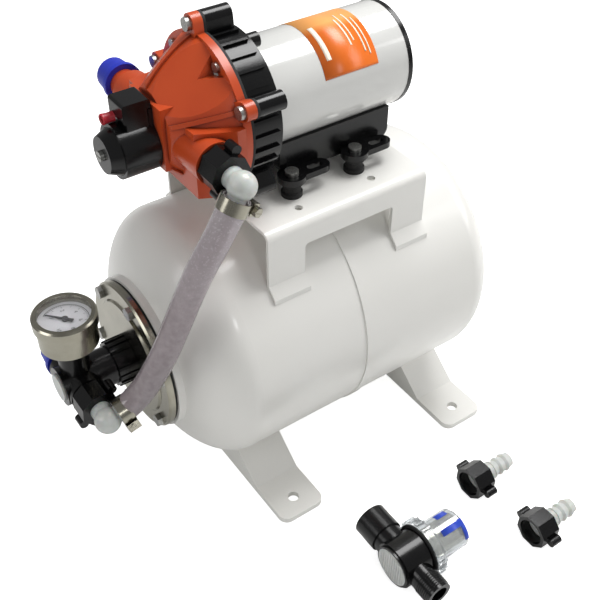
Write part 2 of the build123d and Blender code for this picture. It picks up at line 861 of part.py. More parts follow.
def facet_cutter():
    """Wedge over the top of the X axis that planes the dome's panel a little flatter."""
    slope = (dome_radius - dome_end_radius) / (rim_face_x - dome_end_x)
    front_x = dome_end_x - 2 * dome_nose
    low = facet_share * (dome_end_radius - slope * 2 * dome_nose)
    side = polygon((rim_face_x, facet_share * dome_radius), (rim_face_x, head_radius + overrun),
                   (front_x, head_radius + overrun), (front_x, low))
    return extrude(Plane.XZ * side, head_radius, both=True)


def recess_cutter():
    """Three cornered pocket at the top of the X axis, down to the rim's face."""
    corners = polygon((0, recess_apex), (recess_half_width, head_radius + overrun),
                      (-recess_half_width, head_radius + overrun))
    return prism_x(corners, dome_end_x, rim_face_x)


def panel_turns():
    """The middle angles of the five panels between the lugs."""
    return [turn - 360 / lugs / 2 for turn in lug_turns()]


def recess_turns():
    """The panels whose recess isn't covered by the manifold."""
    return [turn for turn in panel_turns() if abs(sin(radians(turn))) < recess_side_share]


def head_dome():
    """Five flattened panels with raised ridges between them, on a round rim."""
    dome = dome_form(0)
    for turn in panel_turns():
        dome -= about_pump(facet_cutter(), turn)
    ridges = dome_form(ridge_height)
    for turn in lug_turns():
        fin = block((dome_end_x - dome_nose, rim_face_x), (-ridge_half_width, ridge_half_width),
                    (0, head_radius))
        dome += ridges & about_pump(fin, turn)
    for turn in recess_turns():
        dome -= about_pump(recess_cutter(), turn)
    pad = block((head_face_x, dome_waist_x), (-head_pad_half_width, head_pad_half_width),
                (pump_height - head_pad_top, pump_height + head_pad_top))
    return dome + pad + bar((rim_face_x, 0, pump_height), rearward, head_radius, head_rim)


def lug(x_front, x_rear):
    """One lug at the top of the X axis, with the web that joins it."""
    boss = bar((x_front, 0, lug_circle), rearward, lug_radius, x_rear - x_front)
    web = block((x_front, x_rear), (-lug_radius, lug_radius), (drive_radius - drive_wall, lug_circle))
    return boss + web


def screw_hole(radius):
    """Hole through both lugs."""
    return bar((joint_x - 2 * lug_length, 0, lug_circle), rearward, radius, motor_rear_x - joint_x)


def manifold():
    """Block across the dome that carries both ports, wider on the outlet's side."""
    plan = polygon((manifold_front_x, -manifold_front_half), (manifold_step_x, outlet_boss_y),
                   (manifold_rear_x, outlet_boss_y), (manifold_rear_x, manifold_inlet_half),
                   (manifold_front_x, manifold_front_half))
    return extrude(Pos(0, 0, pump_height + manifold_bottom) * plan, manifold_top - manifold_bottom)


def pump_head():
    """Orange head: dome, five lugs, manifold with an outlet and an inlet port."""
    head = head_dome() + manifold()
    for turn in lug_turns():
        head += about_pump(lug(joint_x - lug_length, joint_x), turn)
    head += bar((port_x, outlet_boss_y, port_z), leftward, head_boss, inlet_boss_y - outlet_boss_y)
    head += bar((port_x, outlet_boss_y - lower_stub, port_z), leftward, port_radius,
                inlet_end_y - outlet_boss_y + lower_stub)
    head -= bar((port_x, upper_stub_end.Y - overrun, port_z), leftward, port_bore, port_depth + overrun)
    head -= bar((port_x, inlet_end_y + overrun, port_z), rightward, port_bore, port_depth + overrun)
    for turn in lug_turns():
        head -= about_pump(screw_hole(screw_radius + seat_gap), turn)
    for turn in recess_turns():
        hole = bar((rim_face_x - overrun, 0, recess_screw_circle), rearward, recess_shank + seat_gap,
                   head_rim / 2 + overrun)
        head -= about_pump(hole, turn)
    cavity = bar((joint_x, 0, pump_height), frontward, valve_plate_radius + free_gap,
                 valve_plate_height + free_gap)
    return head - cavity


def pump_screws():
    """Five screws through the lugs, and small ones in the dome's recesses."""
    screws = []
    head_x = joint_x - lug_length
    for turn in lug_turns():
        head = bar((head_x, 0, lug_circle), frontward, screw_head, screw_head_height)
        shank = bar((head_x, 0, lug_circle), rearward, screw_radius, lug_rear_x - head_x - lug_length / 2)
        screws.append(about_pump(head + shank, turn))
    for turn in recess_turns():
        place = (rim_face_x, 0, recess_screw_circle)
        head = bar(place, frontward, recess_screw, recess_screw_height)
        screws.append(about_pump(head + bar(place, rearward, recess_shank, head_rim / 2 - free_gap), turn))
    return screws


drive_front_x = joint_x + diaphragm_sheet
shaft_front_x = drive_front_x + wobble_height + free_gap


def drive_knob():
    """Round nut on the housing's rear face, beside the motor."""
    start = (drive_rear_x - drive_floor, 0, knob_circle)
    return about_pump(bar(start, rearward, knob_radius, knob_rear_x - drive_rear_x + drive_floor), -knob_turn)


def drive_housing():
    """Black housing between the diaphragm and the motor, ribbed between its lugs."""
    points = [(drive_front_x, drive_radius), (drive_rear_x, drive_radius), (drive_rear_x, shaft_boss),
              (drive_rear_x - drive_floor, shaft_boss),
              (drive_rear_x - drive_floor, drive_radius - drive_wall),
              (drive_front_x, drive_radius - drive_wall)]
    housing = turned(points, (0, 0, pump_height), rearward)
    rib = block((drive_front_x, lug_rear_x), (-drive_rib_width / 2, drive_rib_width / 2),
                (drive_radius - drive_wall / 2, drive_radius + drive_rib_height))
    for turn in lug_turns():
        housing += about_pump(lug(drive_front_x, lug_rear_x), turn)
        for index in range(1, drive_ribs + 1):
            housing += about_pump(rib, turn + index * 360 / lugs / (drive_ribs + 1))
    for turn in lug_turns():
        housing -= about_pump(bar((drive_front_x - overrun, 0, lug_circle), rearward,
                                  screw_radius + seat_gap, lug_rear_x - drive_front_x), turn)
    return housing + drive_knob()


def diaphragm():
    """Rubber diaphragm whose edge shows between head and housing."""
    sheet = bar((joint_x, 0, pump_height), rearward, head_radius - seat_gap, diaphragm_sheet)
    for turn in lug_turns():
        sheet += about_pump(lug(joint_x, drive_front_x), turn)
        sheet -= about_pump(screw_hole(screw_radius + seat_gap), turn)
    return sheet


def valve_plate():
    """Plate with a chamber and a port for each of the five pistons."""
    plate = bar((joint_x, 0, pump_height), frontward, valve_plate_radius, valve_plate_height)
    for turn in lug_turns():
        chamber = bar((joint_x + overrun, 0, chamber_circle), frontward, chamber_radius,
                      valve_plate_height / 2 + overrun)
        port = bar((joint_x + overrun, 0, chamber_circle), frontward, valve_disc / 2,
                   valve_plate_height + 2 * overrun)
        plate -= about_pump(chamber + port, turn)
    return plate


def chamber_valves():
    """A rubber disc in each chamber."""
    discs = []
    for turn in lug_turns():
        disc = bar((joint_x - valve_plate_height / 2, 0, chamber_circle), rearward, valve_disc, valve_sheet)
        discs.append(about_pump(disc, turn))
    return discs


def wobble_plate():
    """Five lobed plate that works the diaphragm."""
    plate = bar((drive_front_x, 0, pump_height), rearward, wobble_hub, wobble_height)
    for turn in lug_turns():
        lobe = bar((drive_front_x, 0, chamber_circle), rearward, chamber_radius, wobble_height)
        arm = block((drive_front_x, drive_front_x + wobble_height), (-chamber_radius / 2, chamber_radius / 2),
                    (0, chamber_circle))
        plate += about_pump(lobe + arm, turn)
    collar = bar((drive_front_x, 0, pump_height), rearward, bearing_outer + drive_wall,
                 wobble_height + bearing_height)
    seat = bar((drive_front_x + wobble_height, 0, pump_height), rearward, bearing_outer + seat_gap,
               bearing_height + overrun)
    return plate + collar - seat


def bearings():
    """Ball bearing of the wobble plate and plain bearing of the can's front plate, as rings."""
    start = (drive_front_x + wobble_height, 0, pump_height)
    plain_start = (drive_rear_x - drive_floor, 0, pump_height)
    return [tube(start, rearward, bearing_outer, bearing_bore, bearing_height),
            tube(plain_start, rearward, shaft_boss - seat_gap, shaft_radius + running_gap,
                 drive_floor + 2 * motor_wall)]


def cam():
    """Tilted cam on the motor's shaft, with its balance web."""
    start_x = drive_front_x + wobble_height + free_gap
    hub = Pos(start_x + bearing_height / 2, 0, 0) * Rot(0, 90 + cam_tilt, 0) * Cylinder(
        cam_radius, bearing_height - 2 * free_gap)
    web = bar((start_x + bearing_height, 0, 0), rearward, cam_radius, free_gap * 4)
    hole = bar((shaft_front_x - overrun, 0, 0), rearward, shaft_radius + seat_gap, motor_rear_x)
    return Pos(0, 0, pump_height) * (hub + web - hole)


def motor_can():
    """White painted can with its front plate."""
    points = [(drive_rear_x, shaft_boss), (drive_rear_x, motor_radius), (motor_rear_x, motor_radius),
              (motor_rear_x, motor_radius - motor_wall),
              (drive_rear_x + motor_wall, motor_radius - motor_wall), (drive_rear_x + motor_wall, shaft_boss)]
    return turned(points, (0, 0, pump_height), rearward)


magnet_outer = motor_radius - motor_wall - seat_gap
armature_radius = magnet_outer - magnet_thickness - armature_air_gap


def magnets():
    """Two curved magnets with gaps above and below."""
    shell = tube((magnet_front_x, 0, pump_height), rearward, magnet_outer,
                 magnet_outer - magnet_thickness, magnet_rear_x - magnet_front_x)
    gap = block((magnet_front_x - overrun, magnet_rear_x + overrun), (-magnet_gap_half, magnet_gap_half),
                (pump_height - motor_radius, pump_height + motor_radius))
    return (shell - gap).solids()


def armature():
    """Wound stack and commutator on the shaft."""
    points = [(armature_front_x, shaft_radius), (armature_front_x, armature_radius),
              (armature_rear_x, armature_radius), (armature_rear_x, commutator_radius / 2 + shaft_radius / 2),
              (commutator_front_x, commutator_radius / 2 + shaft_radius / 2),
              (commutator_front_x, commutator_radius), (commutator_rear_x, commutator_radius),
              (commutator_rear_x, shaft_radius)]
    return turned(points, (0, 0, pump_height), rearward)


def motor_shaft():
    """Shaft from the cam to the rear bearing."""
    return bar((shaft_front_x, 0, pump_height), rearward, shaft_radius - seat_gap / 4,
               motor_rear_x - shaft_front_x)


def rear_end_bell():
    """Black end bell with the rear bearing and the two holders of the brushes."""
    bell = bar((motor_rear_x, 0, pump_height), rearward, bell_radius, bell_height)
    plug = bar((motor_rear_x, 0, pump_height), frontward, motor_radius - motor_wall - seat_gap, bell_height)
    bearing = bar((motor_rear_x, 0, pump_height), frontward, shaft_boss, 2 * bell_height)
    shaft_hole = bar((motor_rear_x + free_gap, 0, pump_height), frontward, shaft_radius + running_gap,
                     motor_radius)
    bell = bell + plug + bearing - shaft_hole
    for y_range in brush_ranges():
        bell += block((commutator_rear_x + free_gap, motor_rear_x), y_range,
                      (pump_height - brush_height / 2, pump_height + brush_height / 2))
    return bell


def brush_ranges():
    """The brushes' reaches beside the commutator, one on each side."""
    near = commutator_radius + free_gap
    return [sorted((side * near, side * (near + brush_length))) for side in (-1, 1)]


def brushes():
    """Two carbon brushes beside the commutator, each against its holder."""
    return [block((commutator_front_x, commutator_rear_x + free_gap), y_range,
                  (pump_height - brush_height / 2, pump_height + brush_height / 2))
            for y_range in brush_ranges()]


def base_pads():
    """Four pads with slotted tails along the cradle's foot."""
    pads = []
    for x in pad_places_x:
        for side in (-1, 1):
            y_range = sorted((side * (base_half_width - base_sheet), side * pad_y))
            pad = bar((x, side * pad_y, base_bottom), upward, pad_radius, base_sheet)
            pad += block((x, x + pad_tail - pad_tail_half), y_range, (base_bottom, base_bottom + base_sheet))
            tail = Pos(x + pad_tail / 2, side * pad_y) * SlotOverall(pad_tail + 2 * pad_tail_half,
                                                                     2 * pad_tail_half)
            pad += extrude(Pos(0, 0, base_bottom) * tail, base_sheet)
            slot = Pos(x + slot_ahead, side * pad_y) * SlotOverall(slot_length, slot_width)
            pad -= extrude(Pos(0, 0, base_bottom - overrun) * slot, base_sheet + 2 * overrun)
            pads.append(pad - bar((x, side * pad_y, base_bottom - overrun), upward, base_screw + free_gap,
                                  base_sheet + 2 * overrun))
    return pads


def motor_base():
    """Black cradle under the motor, its lower corners rounded, with four slotted pads."""
    saddle = block((base_front_x, base_rear_x), (-base_half_width, base_half_width),
                   (base_bottom, base_top))
    low = saddle.edges().filter_by(Axis.Y).filter_by(lambda edge: edge.center().Z < base_bottom + overrun)
    saddle = fillet(low, base_corner)
    saddle -= block((base_front_x + base_sheet, base_rear_x - base_sheet),
                    (base_sheet - base_half_width, base_half_width - base_sheet),
                    (base_bottom - overrun, pump_height - motor_radius - base_sheet))
    saddle += base_pads()
    return saddle - bar((base_front_x - overrun, 0, pump_height), rearward, motor_radius + seat_gap,
                        base_rear_x - base_front_x + 2 * overrun)


def rubber_feet():
    """Four waisted rubber buffers."""
    feet = []
    height = base_bottom - platform_top
    points = [(0, rubber_bore), (0, rubber_radius), (height / 4, rubber_radius), (height / 3, rubber_waist),
              (height * 2 / 3, rubber_waist), (height * 3 / 4, rubber_radius), (height, rubber_radius),
              (height, rubber_bore)]
    for x in pad_places_x:
        for side in (-1, 1):
            feet.append(turned(points, (x, side * pad_y, platform_top), upward))
    return feet


def base_screws():
    """Four screws through pads, buffers and platform."""
    screws = []
    top = base_bottom + base_sheet
    for x in pad_places_x:
        for side in (-1, 1):
            head = bar((x, side * pad_y, top), upward, base_screw_head, base_screw_height)
            shank = bar((x, side * pad_y, top), downward, base_screw, top - platform_top + 2 * platform_sheet)
            screws.append(head + shank)
    return screws


def switch_housing():
    """Black housing of the pressure switch: foot plate, barrel and end boss."""
    plate = block((switch_neck_x, head_face_x), (-switch_neck_half, switch_neck_half),
                  (pump_height - switch_neck_tall / 2, pump_height + switch_neck_tall / 2))
    foot = bar((head_face_x, 0, switch_z), frontward, switch_barrel, head_face_x - switch_barrel_x)
    end = turned([(switch_barrel_x, switch_barrel - adjuster_height / 2), (switch_barrel_x, 0),
                  (switch_end_x, 0), (switch_end_x, switch_end_radius)], (0, 0, switch_z), rearward)
    body = plate + foot + end
    return body - bar((switch_end_x - overrun, 0, switch_z), rearward, adjuster_radius + running_gap,
                      adjuster_depth + overrun)


def adjusting_screw():
    """Slotted screw that sets the cut-out pressure."""
    length = adjuster_depth - free_gap + adjuster_height / 2
    screw = bar((switch_end_x + adjuster_depth - free_gap, 0, switch_z), frontward, adjuster_radius, length)
    tip_x = switch_end_x + adjuster_depth - free_gap - length
    slot = block((tip_x - overrun, tip_x + adjuster_slot), (-adjuster_radius, adjuster_radius),
                 (switch_z - adjuster_slot / 2, switch_z + adjuster_slot / 2))
    return screw - slot


def switch_block():
    """Black microswitch on top of the barrel, on a short seat."""
    body = block((block_front_x, block_rear_x), (-block_half_width, block_half_width),
                 (block_bottom, block_bottom + block_height))
    body = fillet(body.edges().filter_by(Axis.Y), block_corner)
    seat = block((block_front_x + block_corner, block_rear_x - block_corner),
                 (-block_half_width, block_half_width), (switch_z + switch_barrel / 2, block_bottom))
    seat -= bar((switch_end_x, 0, switch_z), rearward, switch_barrel + seat_gap, motor_rear_x)
    return body + seat - block((switch_neck_x - seat_gap, block_rear_x + overrun),
                               (-switch_neck_half - seat_gap, switch_neck_half + seat_gap),
                               (switch_z, pump_height + switch_neck_tall / 2 + seat_gap))


strainer_z = strainer_ring + strainer_wall / 4
strainer_reach = strainer_bowl_end_x - strainer_front_x


def strainer_body():
    """Black body: a short cup across the flow, a socket and a threaded port."""
    cup = bar((strainer_front_x, strainer_y, strainer_z), rearward, strainer_radius,
              strainer_rear_x - strainer_front_x)
    cup += bar((strainer_front_x, strainer_y, strainer_z), frontward, strainer_disc, strainer_disc_height)
    cup += bar((strainer_flow_x, strainer_y, strainer_z), leftward, strainer_neck,
               strainer_inlet_y - strainer_y)
    cup += bar((strainer_flow_x, strainer_flare_y, strainer_z), leftward, strainer_socket,
               strainer_inlet_y - strainer_flare_y)
    cup += bar((strainer_flow_x, strainer_y, strainer_z), rightward, port_radius,
               strainer_y - strainer_outlet_y)
    cup -= bar((strainer_flow_x, strainer_outlet_y - overrun, strainer_z), leftward, port_bore,
               strainer_inlet_y - strainer_outlet_y + 2 * overrun)
    cup -= bar((strainer_flow_x, strainer_inlet_y + overrun, strainer_z), rightward, port_radius,
               lower_stub + overrun)
    return cup - bar((strainer_front_x + strainer_floor, strainer_y, strainer_z), rearward,
                     strainer_bore, strainer_reach)




def strainer_bowl_piece():
    """Clear bowl with its ribbed ring."""
    start_x = strainer_rear_x + free_gap
    end_x = strainer_bowl_end_x
    inside = strainer_bowl - strainer_wall
    points = [(start_x, inside), (start_x, strainer_ring - strainer_wall / 2),
              (strainer_ring_rear_x, strainer_ring - strainer_wall / 2),
              (strainer_ring_rear_x, strainer_bowl),
              (end_x - strainer_wall, strainer_bowl), (end_x, strainer_bowl - strainer_wall), (end_x, 0),
              (end_x - strainer_wall, 0), (end_x - strainer_wall, inside)]
    bowl = turned(points, (0, 0, 0), rearward)
    rib = block((start_x, strainer_ring_rear_x), (-strainer_wall / 2, strainer_wall / 2),
                (strainer_ring - strainer_wall, strainer_ring + strainer_wall / 4))
    bowl += [Rot(index * 360 / strainer_ring_ribs, 0, 0) * rib for index in range(strainer_ring_ribs)]
    return Pos(0, strainer_y, strainer_z) * bowl


def strainer_screen_piece():
    """Screen cup that stands in body and bowl."""
    start_x = strainer_front_x + strainer_floor
    length = strainer_reach - strainer_floor - strainer_wall - free_gap
    screen = tube((start_x, strainer_y, strainer_z), rearward, strainer_screen,
                  strainer_screen - screen_wall, length)
    floor_start = (start_x + length - screen_wall, strainer_y, strainer_z)
    floor = bar(floor_start, rearward, strainer_screen, screen_wall)
    holes = bar((strainer_flow_x, strainer_y - strainer_radius, strainer_z), leftward, port_bore,
                2 * strainer_radius)
    return screen + floor - holes


def spare_barb_piece(place):
    """Straight barb with its collar and grey washer, in its nut on the floor."""
    x, y = place
    collar_x = x + nut_length - nut_wall - seat_gap - collar_height
    nut_end = x + nut_length
    step = spare_barb / (spare_ridges + 1)
    root = hose_bore - spare_ridge / 2
    points = [(collar_x, barb_bore), (collar_x, port_radius - seat_gap),
              (collar_x + collar_height, port_radius - seat_gap), (collar_x + collar_height, nut_neck),
              (nut_end + step, nut_neck), (nut_end + step, root)]
    for index in range(spare_ridges):
        ridge_x = nut_end + step * (index + 1)
        points += [(ridge_x + spare_ridge, hose_bore + spare_ridge), (ridge_x + step - spare_ridge, root)]
    points += [(nut_end + spare_barb, root), (nut_end + spare_barb, barb_bore)]
    washer = tube((collar_x, y, nut_flat), frontward, port_radius - seat_gap, barb_bore, washer_height)
    return [turned(points, (0, y, nut_flat), rearward), washer]


def spare_nut(place):
    """Wing nut of a spare barb, lying flat."""
    x, y = place
    return wing_nut((x, y, nut_flat), rearward, leftward)


def write_parts(pieces):
    """Writes each piece under its node's name, and a list as a group of solids."""
    os.makedirs("parts", exist_ok=True)
    for name, shape in pieces.items():
        group = Compound(shape) if isinstance(shape, list) else shape
        export_step(group, f"parts/{name}.step")


write_parts({
    "tank_front_shell": tank_front_shell(),
    "tank_rear_shell": tank_rear_shell(),
    "bladder": bladder(),
    "front_foot": saddle_foot(-foot_hole_x),
    "rear_foot": saddle_foot(foot_hole_x),
    "platform": platform(),
    "flange": flange(),
    "flange_bolts": flange_bolt_set(),
    "air_valve_body": air_valve_body(),
    "air_valve_pin": air_valve_pin(),
    "air_valve_cap": air_valve_cap(),
    "coupling_nut": coupling_nut(),
    "coupling_washer": coupling_washer(),
    "cross_fitting": cross_fitting(),
    "end_plug": end_plug(),
    "outlet_cap": outlet_cap(),
    "gauge_socket": gauge_socket(),
    "gauge_case": gauge_case(),
    "gauge_bezel": gauge_bezel_ring(),
    "gauge_lens": gauge_lens(),
    "gauge_dial": gauge_dial(),
    "gauge_needle": gauge_needle(),
    "lower_wing_nut": wing_nut(lower_stub_end + leftward * nut_back, rightward, lower_wings),
    "lower_elbow": elbow(lower_stub_end, rightward, lower_knee, lower_way),
    "upper_wing_nut": wing_nut(upper_stub_end + leftward * nut_back, rightward, upper_wings),
    "upper_elbow": elbow(upper_stub_end, rightward, upper_knee, upper_way),
    "hose": hose(),
    "lower_clamp_band": clamp_band(lower_clamp),
    "lower_clamp_screw": clamp_worm(lower_clamp),
    "upper_clamp_band": clamp_band(upper_clamp),
    "upper_clamp_screw": clamp_worm(upper_clamp),
    "pump_head": pump_head(),
    "inlet_cap": inlet_cap(),
    "pump_screws": pump_screws(),
    "drive_housing": drive_housing(),
    "diaphragm": diaphragm(),
    "valve_plate": valve_plate(),
    "chamber_valves": chamber_valves(),
    "wobble_plate": wobble_plate(),
    "bearings": bearings(),
    "cam": cam(),
    "motor_can": motor_can(),
    "magnets": magnets(),
    "armature": armature(),
    "motor_shaft": motor_shaft(),
    "rear_end_bell": rear_end_bell(),
    "brushes": brushes(),
    "motor_base": motor_base(),
    "rubber_feet": rubber_feet(),
    "base_screws": base_screws(),
    "switch_housing": switch_housing(),
    "switch_block": switch_block(),
    "adjusting_screw": adjusting_screw(),
    "strainer_body": strainer_body(),
    "strainer_bowl": strainer_bowl_piece(),
    "strainer_screen": strainer_screen_piece(),
    "spare_barb_1": spare_barb_piece(spare_nuts[0]),
    "spare_wing_nut_1": spare_nut(spare_nuts[0]),
    "spare_barb_2": spare_barb_piece(spare_nuts[1]),
    "spare_wing_nut_2": spare_nut(spare_nuts[1]),
})
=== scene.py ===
from math import cos, pi, radians, sin

import bmesh
import bpy
from mathutils import Matrix, Vector


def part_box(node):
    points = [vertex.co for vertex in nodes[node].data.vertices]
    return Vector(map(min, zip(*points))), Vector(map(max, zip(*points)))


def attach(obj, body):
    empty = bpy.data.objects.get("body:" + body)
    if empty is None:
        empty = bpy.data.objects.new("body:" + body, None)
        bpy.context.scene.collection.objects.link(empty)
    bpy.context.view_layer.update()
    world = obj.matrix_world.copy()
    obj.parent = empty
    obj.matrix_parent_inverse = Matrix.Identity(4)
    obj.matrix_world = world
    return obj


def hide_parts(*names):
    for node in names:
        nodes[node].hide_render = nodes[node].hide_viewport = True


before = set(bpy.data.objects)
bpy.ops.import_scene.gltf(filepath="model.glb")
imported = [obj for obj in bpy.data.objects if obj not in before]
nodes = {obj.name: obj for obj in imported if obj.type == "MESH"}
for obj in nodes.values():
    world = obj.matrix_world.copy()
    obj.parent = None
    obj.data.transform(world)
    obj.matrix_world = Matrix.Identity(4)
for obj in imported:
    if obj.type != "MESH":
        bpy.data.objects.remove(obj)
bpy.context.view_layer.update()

# Camera
# It stands where the photograph was taken from: above and to the left of the gauge, looking down
# along the tank. Its place is in metres and its lens comes from the photograph's perspective.
camera_place = Vector((-0.34987, -0.47849, 0.62285))
camera_yaw = 0.61679
camera_pitch = 0.72097
camera_roll = 0.00633
focal_pixels = 935.5
photo_width = 600
sensor_width = 36.0

ahead = Vector((sin(camera_yaw) * cos(camera_pitch), cos(camera_yaw) * cos(camera_pitch),
                -sin(camera_pitch)))
level_right = ahead.cross(Vector((0, 0, 1))).normalized()
level_up = level_right.cross(ahead)
camera_right = level_right * cos(camera_roll) + level_up * sin(camera_roll)
camera_up = level_up * cos(camera_roll) - level_right * sin(camera_roll)
camera = bpy.data.objects.new("camera", bpy.data.cameras.new("camera"))
camera.matrix_world = Matrix.Translation(camera_place) @ Matrix(
    (camera_right, camera_up, -ahead)).transposed().to_4x4()
camera.data.sensor_width = sensor_width
camera.data.lens = focal_pixels / photo_width * sensor_width
bpy.context.scene.collection.objects.link(camera)
bpy.context.scene.camera = camera
bpy.context.scene.view_settings.view_transform = "Standard"


# Studio
# A white floor and white surroundings, with one large soft lamp high on the right, a weaker one
# below it and two small ones at the front and left, so that the tank's left and under side turn grey.
def linear(hex_colour):
    """Linear RGBA of an sRGB hex colour."""
    channels = [int(hex_colour[place:place + 2], 16) / 255 for place in (1, 3, 5)]
    return [c / 12.92 if c <= 0.04045 else ((c + 0.055) / 1.055) ** 2.4 for c in channels] + [1]


def add_node(tree, kind, settings=None, links=None):
    """Adds a shader node, sets its options and sockets, and links sockets from (node, output) pairs."""
    node = tree.nodes.new(kind)
    for name, value in (settings or {}).items():
        if isinstance(name, str) and hasattr(node, name):
            setattr(node, name, value)
        else:
            node.inputs[name].default_value = value
    for name, (source, output) in (links or {}).items():
        tree.links.new(source.outputs[output], node.inputs[name])
    return node


world = bpy.data.worlds.new("studio")
bpy.context.scene.world = world
world.use_nodes = True
world.node_tree.nodes.clear()
sky = world.node_tree
path = add_node(sky, "ShaderNodeLightPath")
seen = add_node(sky, "ShaderNodeMath", {"operation": "MAXIMUM"},
                {0: (path, "Is Camera Ray"), 1: (path, "Is Transmission Ray")})
ambient = add_node(sky, "ShaderNodeBackground", {"Color": linear("#FFFFFF"), "Strength": 0.3})
backdrop = add_node(sky, "ShaderNodeBackground", {"Color": linear("#FFFFFF"), "Strength": 1.0})
either = add_node(sky, "ShaderNodeMixShader", None,
                  {0: (seen, 0), 1: (ambient, 0), 2: (backdrop, 0)})
add_node(sky, "ShaderNodeOutputWorld", None, {"Surface": (either, 0)})


def softbox(name, place, target, size, watts):
    """A square area lamp at place that points at target."""
    lamp = bpy.data.objects.new(name, bpy.data.lights.new(name, "AREA"))
    lamp.data.size = size
    lamp.data.energy = watts
    lamp.location = place
    lamp.rotation_euler = (Vector(target) - Vector(place)).to_track_quat("-Z", "Y").to_euler()
    bpy.context.scene.collection.objects.link(lamp)


middle_of_pump = (-0.05, 0.0, 0.18)
softbox("key_lamp", (0.45, 0.05, 1.25), middle_of_pump, 0.6, 13.0)
softbox("right_lamp", (1.1, -0.6, 0.8), middle_of_pump, 0.7, 4.5)
softbox("strip_lamp", (-0.2, -0.9, 0.75), middle_of_pump, 0.15, 0.9)
softbox("left_lamp", (-1.1, 0.1, 0.75), middle_of_pump, 0.5, 2.7)

floor_size = 6.0
floor_drop = 0.0002
floor_mesh = bpy.data.meshes.new("floor")
floor_mesh.from_pydata([(x * floor_size, y * floor_size, -floor_drop) for x, y in
                        ((-1, -1), (1, -1), (1, 1), (-1, 1))], [], [(0, 1, 2, 3)])
floor = bpy.data.objects.new("floor", floor_mesh)
bpy.context.scene.collection.objects.link(floor)
paper = bpy.data.materials.new("white studio paper")
paper.use_nodes = True
paper_tree = paper.node_tree
paper_tree.nodes.clear()
paper_path = add_node(paper_tree, "ShaderNodeLightPath")
paper_matt = add_node(paper_tree, "ShaderNodeBsdfDiffuse", {"Color": linear("#F4F4F3")})
paper_glow = add_node(paper_tree, "ShaderNodeEmission", {"Color": linear("#FFFFFF"), "Strength": 0.75})
paper_both = add_node(paper_tree, "ShaderNodeAddShader", None, {0: (paper_matt, 0), 1: (paper_glow, 0)})
paper_seen = add_node(paper_tree, "ShaderNodeMixShader", None,
                      {0: (paper_path, "Is Camera Ray"), 1: (paper_matt, 0), 2: (paper_both, 0)})
add_node(paper_tree, "ShaderNodeOutputMaterial", None, {"Surface": (paper_seen, 0)})
floor.data.materials.append(paper)


# Hose
# Half inch clear PVC hose with white polyester yarn wound both ways inside its wall, pushed over
# a barb at each end. It is a drawn tube, so its surface is smooth with a soft, milky gloss.
hose_radius = 0.0095
lower_knee = Vector((-0.208, -0.0485, 0.130))
lower_way = Vector((0.97, 0, 0.243))
upper_knee = Vector((-0.112, -0.083, 0.308))
upper_way = Vector((-0.497, 0, -0.868))
hose_start = 0.008
lower_run = 0.024
upper_run = 0.030
hose_route = [
    lower_knee + lower_way * hose_start,
    lower_knee + lower_way * lower_run,
    lower_knee + Vector((0.0401, -0.0145, 0.0482)),
    lower_knee + Vector((0.0538, -0.0215, 0.0871)),
    upper_knee + Vector((-0.0314, 0.0060, -0.0577)),
    upper_knee + upper_way * upper_run,
    upper_knee + upper_way * hose_start,
]
steps_along = 24
steps_around = 8


def route_curve(name, points, radius):
    """A round NURBS tube along the route."""
    curve = bpy.data.curves.new(name, "CURVE")
    curve.dimensions = "3D"
    spline = curve.splines.new("NURBS")
    spline.points.add(len(points) - 1)
    for knot, point in zip(spline.points, points):
        knot.co = (*point, 1)
    spline.order_u = 3
    spline.use_endpoint_u = True
    spline.resolution_u = steps_along
    curve.bevel_depth = radius
    curve.bevel_resolution = steps_around
    piece = bpy.data.objects.new(name, curve)
    bpy.context.scene.collection.objects.link(piece)
    return piece


def new_material(name, colour, roughness, metallic=0.0, ior=1.5):
    """A material with its shader's even values set, its tree and its shader."""
    material = bpy.data.materials.new(name)
    material.use_nodes = True
    shader = material.node_tree.nodes["Principled BSDF"]
    shader.inputs["Base Color"].default_value = linear(colour)
    shader.inputs["Roughness"].default_value = roughness
    shader.inputs["Metallic"].default_value = metallic
    shader.inputs["IOR"].default_value = ior
    return material, material.node_tree, shader


# Plasticised PVC: IOR 1.53, seen through but clouded, with a faint mauve cast from the light in it.
pvc, pvc_tree, pvc_shader = new_material("clear_pvc_hose", "#D9D0D4", 0.22, ior=1.53)
pvc_shader.inputs["Transmission Weight"].default_value = 0.55
pvc_place = add_node(pvc_tree, "ShaderNodeTexCoord")
drawing_lines = 1 / 0.004
pvc_streak = add_node(pvc_tree, "ShaderNodeTexNoise", {"Scale": drawing_lines, "Detail": 3.0},
                      {"Vector": (pvc_place, "Object")})
pvc_tone = add_node(pvc_tree, "ShaderNodeValToRGB", None, {"Fac": (pvc_streak, "Fac")})
pvc_tone.color_ramp.elements[0].color = linear("#A2959A")
pvc_tone.color_ramp.elements[1].color = linear("#CDC3C7")
pvc_bump = add_node(pvc_tree, "ShaderNodeBump", {"Strength": 0.15, "Distance": 0.0002},
                    {"Height": (pvc_streak, "Fac")})
